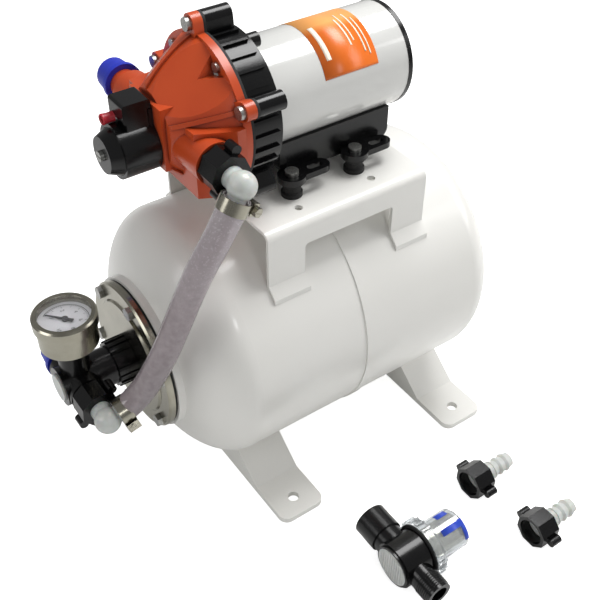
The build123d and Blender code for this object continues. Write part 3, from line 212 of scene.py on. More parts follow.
# Painted light: higher up, towards the pump, the hose's colour is mixed to a paler tone, and painted white
# glints, stronger higher up, stand for bright points of the yarn catching the light.
painted_glint_size = 0.0014
pvc_axes = add_node(pvc_tree, "ShaderNodeSeparateXYZ", None, {"Vector": (pvc_place, "Object")})
pvc_painted_light_height = add_node(pvc_tree, "ShaderNodeMapRange", {"From Min": 0.22, "From Max": 0.30, "To Max": 0.45},
                    {"Value": (pvc_axes, "Z")})
pvc_painted_light = add_node(pvc_tree, "ShaderNodeMixRGB", {"Color2": linear("#E6DFE5")},
                     {"Fac": (pvc_painted_light_height, "Result"), "Color1": (pvc_tone, "Color")})
# Painted glints: white points from fine noise, weighted by the same painted light height mask.
pvc_glint_noise = add_node(pvc_tree, "ShaderNodeTexNoise", {"Scale": 1 / painted_glint_size, "Detail": 1.0},
                      {"Vector": (pvc_place, "Object")})
pvc_glint_mask = add_node(pvc_tree, "ShaderNodeMapRange", {"From Min": 0.58, "From Max": 0.68},
                   {"Value": (pvc_glint_noise, "Fac")})
pvc_painted_glints = add_node(pvc_tree, "ShaderNodeMath", {"operation": "MULTIPLY"},
                       {0: (pvc_glint_mask, "Result"), 1: (pvc_painted_light_height, "Result")})
pvc_lit_and_glinting = add_node(pvc_tree, "ShaderNodeMixRGB", {"Color2": linear("#FFFFFF")},
                    {"Fac": (pvc_painted_glints, "Value"), "Color1": (pvc_painted_light, "Color")})
pvc_tree.links.new(pvc_lit_and_glinting.outputs["Color"], pvc_shader.inputs["Base Color"])
pvc_tree.links.new(pvc_bump.outputs["Normal"], pvc_shader.inputs["Normal"])

hose = route_curve("hose_tube", hose_route, hose_radius)
hose.data.materials.append(pvc)
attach(hose, "root")
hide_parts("hose")

centreline = route_curve("hose_line", hose_route, 0.0)
line_mesh = bpy.data.meshes.new_from_object(centreline)
line_points = [vertex.co.copy() for vertex in line_mesh.vertices]
bpy.data.objects.remove(centreline)

yarn_radius = 0.0086
yarn_half_width = 0.00022
yarn_strands = 8
yarn_pitch = 0.034
yarn = bpy.data.curves.new("hose_yarn", "CURVE")
yarn.dimensions = "3D"
yarn.bevel_depth = yarn_half_width
yarn.bevel_resolution = 1
walked = [0.0]
for a, b in zip(line_points, line_points[1:]):
    walked.append(walked[-1] + (b - a).length)
for way in (-1, 1):
    for strand in range(yarn_strands):
        spline = yarn.splines.new("POLY")
        spline.points.add(len(line_points) - 1)
        side = Vector((0, 1, 0))
        for index, point in enumerate(line_points):
            following = line_points[min(index + 1, len(line_points) - 1)]
            before = line_points[max(index - 1, 0)]
            tangent = (following - before).normalized()
            side = (side - tangent * side.dot(tangent)).normalized()
            other = tangent.cross(side)
            angle = 2 * pi * (strand / yarn_strands + way * walked[index] / yarn_pitch)
            reach = yarn_radius + way * yarn_half_width
            spot = point + (side * cos(angle) + other * sin(angle)) * reach
            spline.points[index].co = (*spot, 1)
yarn_piece = bpy.data.objects.new("hose_yarn", yarn)
bpy.context.scene.collection.objects.link(yarn_piece)
polyester, polyester_tree, polyester_shader = new_material("polyester_yarn", "#F4F1F0", 0.6)
yarn_place = add_node(polyester_tree, "ShaderNodeTexCoord")
fibre_twist = 0.0006
yarn_twist = add_node(polyester_tree, "ShaderNodeTexNoise", {"Scale": 1 / fibre_twist},
                      {"Vector": (yarn_place, "Object")})
yarn_bump = add_node(polyester_tree, "ShaderNodeBump", {"Strength": 0.4, "Distance": 0.0001},
                     {"Height": (yarn_twist, "Fac")})
polyester_tree.links.new(yarn_bump.outputs["Normal"], polyester_shader.inputs["Normal"])
yarn_piece.data.materials.append(polyester)
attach(yarn_piece, "root")


# Tank, feet and platform
# Two deep drawn steel halves joined by a weld bead, with two bent saddle feet and a bent sheet
# platform welded on. All of it is sprayed with white enamel after welding, so one coat covers it.
def dress(material, *names):
    """Gives CAD nodes a material."""
    for name in names:
        piece = nodes[name]
        if not piece.material_slots:
            piece.data.materials.append(material)
        for material_slot in piece.material_slots:
            material_slot.material = material


sharp_angle = radians(38)


def soft_edges(width, *names):
    """Breaks the sharp edges of CAD nodes, as paint or moulding does."""
    for name in names:
        bevel = nodes[name].modifiers.new("soft_edges", "BEVEL")
        bevel.width = width
        bevel.segments = 2
        bevel.limit_method = "ANGLE"
        bevel.angle_limit = sharp_angle
        bevel.harden_normals = False


# Enamel on steel: a warm white with a slight orange peel about 2 mm across, dulled where dust
# lies, and cloudy by a few percent from handling.
enamel, enamel_tree, enamel_shader = new_material("white_enamel", "#E9E8E3", 0.28)
enamel_shader.inputs["Coat Weight"].default_value = 0.35
enamel_shader.inputs["Coat Roughness"].default_value = 0.12
enamel_place = add_node(enamel_tree, "ShaderNodeTexCoord")
peel_size = 0.002
cloud_size = 0.09
enamel_peel = add_node(enamel_tree, "ShaderNodeTexNoise", {"Scale": 1 / peel_size, "Detail": 2.0},
                       {"Vector": (enamel_place, "Object")})
enamel_cloud = add_node(enamel_tree, "ShaderNodeTexNoise", {"Scale": 1 / cloud_size, "Detail": 1.0},
                        {"Vector": (enamel_place, "Object")})
enamel_tone = add_node(enamel_tree, "ShaderNodeValToRGB", None, {"Fac": (enamel_cloud, "Fac")})
enamel_tone.color_ramp.elements[0].color = linear("#E4E3DE")
enamel_tone.color_ramp.elements[1].color = linear("#EAE9E5")
enamel_gloss = add_node(enamel_tree, "ShaderNodeMapRange",
                        {"To Min": 0.27, "To Max": 0.33},
                        {"Value": (enamel_cloud, "Fac")})
enamel_bump = add_node(enamel_tree, "ShaderNodeBump", {"Strength": 0.12, "Distance": 0.0002},
                       {"Height": (enamel_peel, "Fac")})
enamel_tree.links.new(enamel_tone.outputs["Color"], enamel_shader.inputs["Base Color"])
enamel_tree.links.new(enamel_gloss.outputs["Result"], enamel_shader.inputs["Roughness"])
enamel_tree.links.new(enamel_bump.outputs["Normal"], enamel_shader.inputs["Normal"])
dress(enamel, "tank_front_shell", "tank_rear_shell", "front_foot", "rear_foot", "platform")
soft_edges(0.0006, "front_foot", "rear_foot", "platform")


# Flange, bolts and clamps
# Pressed stainless steel flange, polished on a wheel, held by plated hexagon bolts. The hose
# clamps and the gauge's case are of the same bright steel.
bright, bright_tree, bright_shader = new_material("polished_stainless_steel", "#B9B4A6", 0.2, metallic=1.0)
bright_place = add_node(bright_tree, "ShaderNodeTexCoord")
polish_width = 0.0007
bright_grain = add_node(bright_tree, "ShaderNodeTexNoise", {"Scale": 1 / polish_width, "Detail": 3.0},
                        {"Vector": (bright_place, "Object")})
film_size = 0.02
bright_film = add_node(bright_tree, "ShaderNodeTexNoise", {"Scale": 1 / film_size, "Detail": 4.0},
                       {"Vector": (bright_place, "Object")})
bright_rough = add_node(bright_tree, "ShaderNodeMapRange", {"To Min": 0.13, "To Max": 0.33},
                        {"Value": (bright_film, "Fac")})
bright_tone = add_node(bright_tree, "ShaderNodeValToRGB", None, {"Fac": (bright_film, "Fac")})
bright_tone.color_ramp.elements[0].color = linear("#807C6E")
bright_tone.color_ramp.elements[1].color = linear("#BBB8AB")
bright_bump = add_node(bright_tree, "ShaderNodeBump", {"Strength": 0.06, "Distance": 0.0001},
                       {"Height": (bright_grain, "Fac")})
bright_tree.links.new(bright_tone.outputs["Color"], bright_shader.inputs["Base Color"])
bright_tree.links.new(bright_rough.outputs["Result"], bright_shader.inputs["Roughness"])
bright_tree.links.new(bright_bump.outputs["Normal"], bright_shader.inputs["Normal"])
dress(bright, "flange", "gauge_case", "gauge_bezel", "lower_clamp_band", "lower_clamp_screw",
      "upper_clamp_band", "upper_clamp_screw", "strainer_screen", "motor_shaft", "cam", "bearings")
soft_edges(0.0004, "flange", "gauge_bezel", "gauge_case", "lower_clamp_band", "upper_clamp_band")

# Zinc plate over steel: greyer and rougher than polish, with the fine spangle of the plating.
zinc, zinc_tree, zinc_shader = new_material("zinc_plated_steel", "#A9A9A6", 0.36, metallic=1.0)
zinc_place = add_node(zinc_tree, "ShaderNodeTexCoord")
spangle_size = 0.0012
zinc_spangle = add_node(zinc_tree, "ShaderNodeTexVoronoi", {"Scale": 1 / spangle_size},
                        {"Vector": (zinc_place, "Object")})
zinc_tone = add_node(zinc_tree, "ShaderNodeValToRGB", None, {"Fac": (zinc_spangle, "Distance")})
zinc_tone.color_ramp.elements[0].color = linear("#8F8F8C")
zinc_tone.color_ramp.elements[1].color = linear("#C4C4C0")
zinc_tree.links.new(zinc_tone.outputs["Color"], zinc_shader.inputs["Base Color"])
dress(zinc, "flange_bolts", "pump_screws", "base_screws", "adjusting_screw")
soft_edges(0.0003, "flange_bolts", "pump_screws", "base_screws", "adjusting_screw")


# Black mouldings
# Fittings, wing nuts, drive housing, end bell, motor base, switch and strainer body are moulded
# in glass filled nylon, which comes out of the tool black with a satin skin and slight sink marks.
nylon, nylon_tree, nylon_shader = new_material("glass_filled_nylon", "#0C0C0E", 0.3, ior=1.53)
nylon_place = add_node(nylon_tree, "ShaderNodeTexCoord")
fibre_size = 0.0009
nylon_grain = add_node(nylon_tree, "ShaderNodeTexNoise", {"Scale": 1 / fibre_size, "Detail": 3.0},
                       {"Vector": (nylon_place, "Object")})
sink_size = 0.03
nylon_sink = add_node(nylon_tree, "ShaderNodeTexNoise", {"Scale": 1 / sink_size, "Detail": 3.0},
                      {"Vector": (nylon_place, "Object")})
nylon_tone = add_node(nylon_tree, "ShaderNodeValToRGB", None, {"Fac": (nylon_sink, "Fac")})
nylon_tone.color_ramp.elements[0].color = linear("#060607")
nylon_tone.color_ramp.elements[1].color = linear("#0C0C0D")
nylon_rough = add_node(nylon_tree, "ShaderNodeMapRange", {"To Min": 0.14, "To Max": 0.28},
                       {"Value": (nylon_sink, "Fac")})
nylon_bump = add_node(nylon_tree, "ShaderNodeBump", {"Strength": 0.18, "Distance": 0.0002},
                      {"Height": (nylon_grain, "Fac")})
nylon_tree.links.new(nylon_tone.outputs["Color"], nylon_shader.inputs["Base Color"])
nylon_tree.links.new(nylon_rough.outputs["Result"], nylon_shader.inputs["Roughness"])
nylon_tree.links.new(nylon_bump.outputs["Normal"], nylon_shader.inputs["Normal"])
black_mouldings = ("coupling_nut", "cross_fitting", "lower_wing_nut", "upper_wing_nut", "drive_housing",
                   "rear_end_bell", "motor_base", "switch_housing", "switch_block", "strainer_body",
                   "spare_wing_nut_1", "spare_wing_nut_2", "air_valve_cap")
nylon_shader.inputs["Specular IOR Level"].default_value = 0.35
dress(nylon, *black_mouldings)
soft_edges(0.0005, *black_mouldings)

# Moulded EPDM: darker and duller than the nylon, with a fine tooth.
epdm, epdm_tree, epdm_shader = new_material("epdm_rubber", "#131313", 0.7, ior=1.52)
epdm_place = add_node(epdm_tree, "ShaderNodeTexCoord")
tooth_size = 0.0008
epdm_tooth = add_node(epdm_tree, "ShaderNodeTexNoise", {"Scale": 1 / tooth_size},
                      {"Vector": (epdm_place, "Object")})
epdm_bump = add_node(epdm_tree, "ShaderNodeBump", {"Strength": 0.3, "Distance": 0.0002},
                     {"Height": (epdm_tooth, "Fac")})
epdm_tree.links.new(epdm_bump.outputs["Normal"], epdm_shader.inputs["Normal"])
dress(epdm, "rubber_feet", "diaphragm", "chamber_valves", "coupling_washer", "bladder")


# Pump head
# Injection moulded in orange glass filled polypropylene, with a satin gloss. The flow of the
# melt shows as very faint clouds, and the skin has a fine, even grain.
head_plastic, head_tree, head_shader = new_material("orange_polypropylene", "#BE4618", 0.3, ior=1.49)
head_place = add_node(head_tree, "ShaderNodeTexCoord")
flow_size = 0.035
skin_grain = 0.0011
head_flow = add_node(head_tree, "ShaderNodeTexNoise", {"Scale": 1 / flow_size, "Detail": 4.0},
                     {"Vector": (head_place, "Object")})
head_grain = add_node(head_tree, "ShaderNodeTexNoise", {"Scale": 1 / skin_grain, "Detail": 2.0},
                      {"Vector": (head_place, "Object")})
head_tone = add_node(head_tree, "ShaderNodeValToRGB", None, {"Fac": (head_flow, "Fac")})
head_tone.color_ramp.elements[0].color = linear("#B5401A")
head_tone.color_ramp.elements[1].color = linear("#CA5023")
head_bump = add_node(head_tree, "ShaderNodeBump", {"Strength": 0.12, "Distance": 0.0002},
                     {"Height": (head_grain, "Fac")})
# Painted shade: an ambient occlusion mask darkens the colour to brown in the creases between the facets
# and around the screw lugs.
crease_reach = 0.005
head_crease = add_node(head_tree, "ShaderNodeAmbientOcclusion", {"Distance": crease_reach, "samples": 8})
head_crease_shade = add_node(head_tree, "ShaderNodeMapRange",
                     {"From Min": 0.45, "From Max": 0.85, "To Min": 0.75, "To Max": 0.0},
                     {"Value": (head_crease, "AO")})
head_tone_and_shade = add_node(head_tree, "ShaderNodeMixRGB", {"Color2": linear("#5A1E0E")},
                     {"Fac": (head_crease_shade, "Result"), "Color1": (head_tone, "Color")})
head_tree.links.new(head_tone_and_shade.outputs["Color"], head_shader.inputs["Base Color"])
head_tree.links.new(head_bump.outputs["Normal"], head_shader.inputs["Normal"])
head_shader.inputs["Subsurface Weight"].default_value = 0.04
dress(head_plastic, "pump_head")
soft_edges(0.0007, "pump_head")


# Dust caps
# Soft blue polyethylene caps pushed over the free ports for transport. They are waxy, with the
# slight blush that low density polyethylene shows at its edges.
cap_plastic, cap_tree, cap_shader = new_material("blue_polyethylene", "#1F33C4", 0.42, ior=1.51)
cap_place = add_node(cap_tree, "ShaderNodeTexCoord")
blush_size = 0.008
cap_blush = add_node(cap_tree, "ShaderNodeTexNoise", {"Scale": 1 / blush_size, "Detail": 3.0},
                     {"Vector": (cap_place, "Object")})
cap_tone = add_node(cap_tree, "ShaderNodeValToRGB", None, {"Fac": (cap_blush, "Fac")})
cap_tone.color_ramp.elements[0].color = linear("#16249C")
cap_tone.color_ramp.elements[1].color = linear("#2238C6")
cap_tree.links.new(cap_tone.outputs["Color"], cap_shader.inputs["Base Color"])
cap_shader.inputs["Subsurface Weight"].default_value = 0.08
dress(cap_plastic, "outlet_cap", "inlet_cap")
soft_edges(0.0006, "outlet_cap", "inlet_cap")


# Elbows, barbs and plugs
# Natural nylon barbs, pale grey and half seen through, so light bleeds into their edges.
natural, natural_tree, natural_shader = new_material("natural_nylon", "#D9DAD4", 0.3, ior=1.53)
natural_shader.inputs["Transmission Weight"].default_value = 0.25
natural_shader.inputs["Subsurface Weight"].default_value = 0.15
natural_place = add_node(natural_tree, "ShaderNodeTexCoord")
haze_size = 0.006
natural_haze = add_node(natural_tree, "ShaderNodeTexNoise", {"Scale": 1 / haze_size, "Detail": 4.0},
                        {"Vector": (natural_place, "Object")})
natural_tone = add_node(natural_tree, "ShaderNodeValToRGB", None, {"Fac": (natural_haze, "Fac")})
natural_tone.color_ramp.elements[0].color = linear("#CBCAC5")
natural_tone.color_ramp.elements[1].color = linear("#F2F1EC")
natural_tree.links.new(natural_tone.outputs["Color"], natural_shader.inputs["Base Color"])
dress(natural, "lower_elbow", "upper_elbow", "end_plug", "spare_barb_1", "spare_barb_2",
      "valve_plate", "wobble_plate")
soft_edges(0.0004, "end_plug")


# Motor
# A rolled steel can with a baked gloss white coat. Inside are two ferrite magnets, a wound stack
# and two carbon brushes, which only show when the pump is taken apart.
baked, baked_tree, baked_shader = new_material("baked_white_gloss", "#E6E6E3", 0.16)
baked_shader.inputs["Coat Weight"].default_value = 0.6
baked_shader.inputs["Coat Roughness"].default_value = 0.05
baked_place = add_node(baked_tree, "ShaderNodeTexCoord")
wave_size = 0.006
handling_size = 0.04
baked_wave = add_node(baked_tree, "ShaderNodeTexNoise", {"Scale": 1 / wave_size, "Detail": 2.0},
                      {"Vector": (baked_place, "Object")})
baked_bump = add_node(baked_tree, "ShaderNodeBump", {"Strength": 0.05, "Distance": 0.0002},
                      {"Height": (baked_wave, "Fac")})
baked_film = add_node(baked_tree, "ShaderNodeTexNoise", {"Scale": 1 / handling_size, "Detail": 2.0},
                      {"Vector": (baked_place, "Object")})
baked_tone = add_node(baked_tree, "ShaderNodeValToRGB", None, {"Fac": (baked_film, "Fac")})
baked_tone.color_ramp.elements[0].color = linear("#CDCDCA")
baked_tone.color_ramp.elements[1].color = linear("#DBDBD8")
baked_tree.links.new(baked_tone.outputs["Color"], baked_shader.inputs["Base Color"])
baked_tree.links.new(baked_bump.outputs["Normal"], baked_shader.inputs["Normal"])
dress(baked, "motor_can")
soft_edges(0.0005, "motor_can")

ferrite, ferrite_tree, ferrite_shader = new_material("sintered_ferrite", "#2C2C30", 0.55)
ferrite_place = add_node(ferrite_tree, "ShaderNodeTexCoord")
pit_size = 0.0007
ferrite_pits = add_node(ferrite_tree, "ShaderNodeTexNoise", {"Scale": 1 / pit_size},
                        {"Vector": (ferrite_place, "Object")})
ferrite_bump = add_node(ferrite_tree, "ShaderNodeBump", {"Strength": 0.4, "Distance": 0.0002},
                        {"Height": (ferrite_pits, "Fac")})
ferrite_tree.links.new(ferrite_bump.outputs["Normal"], ferrite_shader.inputs["Normal"])
dress(ferrite, "magnets", "brushes")

copper, copper_tree, copper_shader = new_material("lacquered_copper_winding", "#8A4A26", 0.35,
                                                  metallic=0.8)
copper_place = add_node(copper_tree, "ShaderNodeTexCoord")
wire_size = 0.0008
copper_wires = add_node(copper_tree, "ShaderNodeTexWave", {"Scale": 1 / wire_size / (2 * pi)},
                        {"Vector": (copper_place, "Object")})
copper_bump = add_node(copper_tree, "ShaderNodeBump", {"Strength": 0.5, "Distance": 0.0003},
                       {"Height": (copper_wires, "Fac")})
copper_tree.links.new(copper_bump.outputs["Normal"], copper_shader.inputs["Normal"])
dress(copper, "armature")


def mesh_piece(name, mesh):
    """A linked object made of a bmesh, its faces turned outwards."""
    bmesh.ops.recalc_face_normals(mesh, faces=mesh.faces)
    data = bpy.data.meshes.new(name)
    mesh.to_mesh(data)
    mesh.free()
    piece = bpy.data.objects.new(name, data)
    bpy.context.scene.collection.objects.link(piece)
    return piece


# The can's sticker is a plain orange panel with paler bars, cut from printed vinyl and rolled on.
sticker_front_x = -0.0155
sticker_rear_x = 0.0287
sticker_from = radians(-68)
sticker_to = radians(48)
sticker_lift = 0.00012
sticker_steps = 40
motor_axis = (0.0, 0.312, 0.0373)


def round_patch(name, axis, front_x, rear_x, start, end, lift):
    """A thin curved patch on a round form along X, between two turns from the top towards +Y."""
    axis_y, axis_z, form_radius = axis
    mesh = bmesh.new()
    rows = []
    for step in range(sticker_steps + 1):
        angle = start + (end - start) * step / sticker_steps
        radius = form_radius + lift
        rows.append([mesh.verts.new((x, axis_y + radius * sin(angle), axis_z + radius * cos(angle)))
                     for x in (front_x, rear_x)])
    for near, far in zip(rows, rows[1:]):
        mesh.faces.new((near[0], near[1], far[1], far[0])).smooth = True
    piece = mesh_piece(name, mesh)
    thickness = piece.modifiers.new("thickness", "SOLIDIFY")
    thickness.thickness = lift
    thickness.offset = 1
    return piece


vinyl, vinyl_tree, vinyl_shader = new_material("orange_printed_vinyl", "#EE7A22", 0.3)
vinyl_place = add_node(vinyl_tree, "ShaderNodeTexCoord")
fade_size = 0.02
# Painted highlight: by its Y position the sticker's colour is mixed to pale orange over the top and far
# side of the can, where the key lamp's light falls.
sticker_highlight_from = -0.012
sticker_highlight_to = -0.004
vinyl_fade = add_node(vinyl_tree, "ShaderNodeTexNoise", {"Scale": 1 / fade_size, "Detail": 3.0},
                      {"Vector": (vinyl_place, "Object")})
vinyl_tone = add_node(vinyl_tree, "ShaderNodeValToRGB", None, {"Fac": (vinyl_fade, "Fac")})
vinyl_tone.color_ramp.elements[0].color = linear("#DD6414")
vinyl_tone.color_ramp.elements[1].color = linear("#EC7A24")
vinyl_axes = add_node(vinyl_tree, "ShaderNodeSeparateXYZ", None, {"Vector": (vinyl_place, "Object")})
vinyl_painted_highlight = add_node(vinyl_tree, "ShaderNodeMapRange", {"From Min": sticker_highlight_from, "From Max": sticker_highlight_to},
                      {"Value": (vinyl_axes, "Y")})
vinyl_with_highlight = add_node(vinyl_tree, "ShaderNodeMixRGB", {"Color2": linear("#F2A95F")},
                      {"Fac": (vinyl_painted_highlight, "Result"), "Color1": (vinyl_tone, "Color")})
vinyl_tree.links.new(vinyl_with_highlight.outputs["Color"], vinyl_shader.inputs["Base Color"])
sticker = round_patch("motor_sticker", motor_axis, sticker_front_x, sticker_rear_x,
                      sticker_from, sticker_to, sticker_lift)
sticker.data.materials.append(vinyl)
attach(sticker, "root")

pale_ink, pale_tree, pale_shader = new_material("cream_printing_ink", "#F8EBD8", 0.35)
pale_place = add_node(pale_tree, "ShaderNodeTexCoord")
pale_grain = 0.0012
pale_film = add_node(pale_tree, "ShaderNodeTexNoise", {"Scale": 1 / pale_grain},
                     {"Vector": (pale_place, "Object")})
pale_tone = add_node(pale_tree, "ShaderNodeValToRGB", None, {"Fac": (pale_film, "Fac")})
pale_tone.color_ramp.elements[0].color = linear("#F3DFC2")
pale_tone.color_ramp.elements[1].color = linear("#FCF5EA")
pale_tree.links.new(pale_tone.outputs["Color"], pale_shader.inputs["Base Color"])
# Each bar has its front and rear end along the can, and the turns in degrees where it starts and ends.
bar_lift = 0.00022
sticker_bars = ((-0.0105, -0.0065, -50, -8), (0.0115, 0.0128, -42, -6), (0.0150, 0.0160, -38, 2),
                (0.0205, 0.0216, -52, 0), (0.0238, 0.0247, -56, -10))
for index, (front_x, rear_x, start, end) in enumerate(sticker_bars):
    plain_bar = round_patch(f"sticker_bar_{index}", motor_axis, front_x, rear_x,
                            radians(start), radians(end), bar_lift)
    plain_bar.data.materials.append(pale_ink)
    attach(plain_bar, "root")


# Motor end
# The black end bell has a stepped rim, a raised bearing hub and six radial ribs moulded on it, and
# the two long bolts that hold the motor together end there in hexagon nuts.
def box_faces(mesh, low, high):
    """Adds a closed box to a bmesh."""
    corners = [mesh.verts.new((x, y, z)) for x in (low[0], high[0]) for y in (low[1], high[1])
               for z in (low[2], high[2])]
    for face in ((0, 1, 3, 2), (4, 6, 7, 5), (0, 4, 5, 1), (2, 3, 7, 6), (0, 2, 6, 4), (1, 5, 7, 3)):
        mesh.faces.new([corners[index] for index in face])


turning_steps = 96


def turned_piece(name, profile, axis_y, axis_z):
    """A closed (x, radius) profile turned around a line along X."""
    turned = bmesh.new()
    rings = []
    for step in range(turning_steps):
        angle = 2 * pi * step / turning_steps
        rings.append([turned.verts.new((x, axis_y + radius * sin(angle), axis_z + radius * cos(angle)))
                      for x, radius in profile])
    for index, ring in enumerate(rings):
        following = rings[(index + 1) % turning_steps]
        for corner in range(len(profile)):
            after = (corner + 1) % len(profile)
            turned.faces.new((ring[corner], ring[after], following[after], following[corner]))
    return mesh_piece(name, turned)


motor_y, motor_z = motor_axis[:2]
bell_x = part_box("rear_end_bell")[1][0]
bell_step = 0.0012
rim_shoulder = bell_step * 0.6
rim_outer = 0.0352
rim_inner = 0.0318
rim_inner_round = 0.0004
rim_outer_round = 0.0006
bell_rim = turned_piece("bell_rim", [
    (bell_x, rim_outer), (bell_x, rim_inner), (bell_x + rim_shoulder, rim_inner),
    (bell_x + bell_step, rim_inner + rim_inner_round),
    (bell_x + bell_step, rim_outer - rim_outer_round),
    (bell_x + rim_shoulder, rim_outer)], motor_y, motor_z)
hub_outer = 0.0098
hub_bore = 0.0030
hub_dish = 0.0042
hub_top = 0.0080
hub_shoulder = 0.0095
bell_hub = turned_piece("bell_hub", [
    (bell_x, hub_outer), (bell_x, hub_bore), (bell_x + bell_step, hub_bore),
    (bell_x + 2 * bell_step, hub_dish), (bell_x + 2 * bell_step, hub_top),
    (bell_x + bell_step, hub_shoulder)], motor_y, motor_z)
rib_count = 6
rib_half = 0.0008
rib_height = bell_step * 0.8
rib_start = 0.0094
rib_end = 0.0320
ribs_mesh = bmesh.new()
for index in range(rib_count):
    turn = Matrix.Rotation(2 * pi * (index + 0.5) / rib_count, 4, "X")
    before = len(ribs_mesh.verts)
    box_faces(ribs_mesh, (bell_x, -rib_half, rib_start), (bell_x + rib_height, rib_half, rib_end))
    ribs_mesh.verts.ensure_lookup_table()
    bmesh.ops.transform(ribs_mesh, matrix=Matrix.Translation((0, motor_y, motor_z)) @ turn,
                        verts=ribs_mesh.verts[before:])
bell_ribs = mesh_piece("bell_ribs", ribs_mesh)
for piece in (bell_rim, bell_hub, bell_ribs):
    piece.data.materials.append(nylon)
    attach(piece, "root")

nut_across = 0.0032
nut_height = 0.0024
nut_circle = 0.0250
bolt_end = nut_across * 0.5
bolt_tip = nut_across * 0.42
lying = Matrix.Rotation(pi / 2, 4, "Y")
for side in (-1, 1):
    nut_mesh = bmesh.new()
    nut_place = Vector((bell_x + nut_height / 2, motor_y + side * nut_circle, motor_z))
    bolt_place = nut_place + Vector((nut_height / 2, 0, 0))
    bmesh.ops.create_cone(nut_mesh, cap_ends=True, segments=6, radius1=nut_across, radius2=nut_across,
                          depth=nut_height, matrix=Matrix.Translation(nut_place) @ lying)
    bmesh.ops.create_cone(nut_mesh, cap_ends=True, segments=24, radius1=bolt_end, radius2=bolt_tip,
                          depth=nut_height, matrix=Matrix.Translation(bolt_place) @ lying)
    bell_nut = mesh_piece(f"bell_nut_{side + 1}", nut_mesh)
    bell_nut.data.materials.append(zinc)
    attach(bell_nut, "root")


# Brass
# The gauge's socket and the air valve are turned from free cutting brass and left bare, so they
# have an uneven brown film.
brass, brass_tree, brass_shader = new_material("turned_brass", "#B08D4C", 0.3, metallic=1.0)
brass_place = add_node(brass_tree, "ShaderNodeTexCoord")
tarnish_size = 0.006
brass_film = add_node(brass_tree, "ShaderNodeTexNoise", {"Scale": 1 / tarnish_size, "Detail": 4.0},
                      {"Vector": (brass_place, "Object")})
brass_tone = add_node(brass_tree, "ShaderNodeValToRGB", None, {"Fac": (brass_film, "Fac")})
brass_tone.color_ramp.elements[0].color = linear("#957438")
brass_tone.color_ramp.elements[1].color = linear("#C9A865")
brass_tree.links.new(brass_tone.outputs["Color"], brass_shader.inputs["Base Color"])
dress(brass, "gauge_socket", "air_valve_body", "air_valve_pin")
soft_edges(0.0003, "gauge_socket", "air_valve_body")


# Switch terminal
# The microswitch's blade terminal is covered by a soft red vinyl sleeve, flared at its open end.
vinyl_red, red_tree, red_shader = new_material("red_vinyl_sleeve", "#B81E2C", 0.4, ior=1.53)
red_place = add_node(red_tree, "ShaderNodeTexCoord")
red_grain = 0.002
red_cloud = add_node(red_tree, "ShaderNodeTexNoise", {"Scale": 1 / red_grain},
                     {"Vector": (red_place, "Object")})
red_tone = add_node(red_tree, "ShaderNodeValToRGB", None, {"Fac": (red_cloud, "Fac")})
red_tone.color_ramp.elements[0].color = linear("#A01824")
red_tone.color_ramp.elements[1].color = linear("#CC3844")
red_tree.links.new(red_tone.outputs["Color"], red_shader.inputs["Base Color"])
block_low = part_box("switch_block")[0]
sleeve_x = block_low[0]
terminal_y = 0.0048
terminal_z = block_low[2] + 0.0055
blade_half_thick = 0.0004
blade_half_wide = 0.0019
blade_end = sleeve_x - 0.0070
sleeve_waist = sleeve_x - 0.004
sleeve_mouth = sleeve_x - 0.0075
sleeve_tip = sleeve_x - 0.0083
sleeve_bore = 0.0021
sleeve_root_radius = 0.0034
sleeve_waist_radius = 0.0032
sleeve_flare_radius = 0.0037
sleeve_lip_radius = 0.0033
sleeve_mouth_bore = 0.0026
sleeve = turned_piece("terminal_sleeve", [
    (sleeve_x, sleeve_bore), (sleeve_x, sleeve_root_radius), (sleeve_waist, sleeve_waist_radius),
    (sleeve_mouth, sleeve_flare_radius), (sleeve_tip, sleeve_lip_radius),
    (sleeve_mouth, sleeve_mouth_bore), (sleeve_waist, sleeve_bore)], terminal_y, terminal_z)
sleeve.data.materials.append(vinyl_red)
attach(sleeve, "root")
terminal_mesh = bmesh.new()
box_faces(terminal_mesh, (blade_end, terminal_y - blade_half_wide, terminal_z - blade_half_thick),
          (sleeve_x, terminal_y + blade_half_wide, terminal_z + blade_half_thick))
terminal = mesh_piece("switch_terminal", terminal_mesh)
terminal.data.materials.append(brass)
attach(terminal, "root")


# Gauge
# A 40 mm pressure gauge: a polished cup with a rolled bezel, a flat glass, a white dial with
# printed ticks and plain numbers, and a black pointer on its spindle.
glass, glass_tree, glass_shader = new_material("gauge_glass", "#FFFFFF", 0.02, ior=1.5)
glass_shader.inputs["Transmission Weight"].default_value = 1.0
glass_place = add_node(glass_tree, "ShaderNodeTexCoord")
dust_size = 0.003
glass_dust = add_node(glass_tree, "ShaderNodeTexNoise", {"Scale": 1 / dust_size, "Detail": 4.0},
                      {"Vector": (glass_place, "Object")})
glass_haze = add_node(glass_tree, "ShaderNodeMapRange", {"To Min": 0.01, "To Max": 0.07},
                      {"Value": (glass_dust, "Fac")})
glass_tree.links.new(glass_haze.outputs["Result"], glass_shader.inputs["Roughness"])
dress(glass, "gauge_lens")

dial_paint, dial_tree, dial_shader = new_material("white_dial_paint", "#EDEDF2", 0.5)
dial_place = add_node(dial_tree, "ShaderNodeTexCoord")
paint_tooth = 0.0006
dial_tooth = add_node(dial_tree, "ShaderNodeTexNoise", {"Scale": 1 / paint_tooth},
                      {"Vector": (dial_place, "Object")})
dial_bump = add_node(dial_tree, "ShaderNodeBump", {"Strength": 0.08, "Distance": 0.0001},
                     {"Height": (dial_tooth, "Fac")})
dial_tree.links.new(dial_bump.outputs["Normal"], dial_shader.inputs["Normal"])
dress(dial_paint, "gauge_dial")

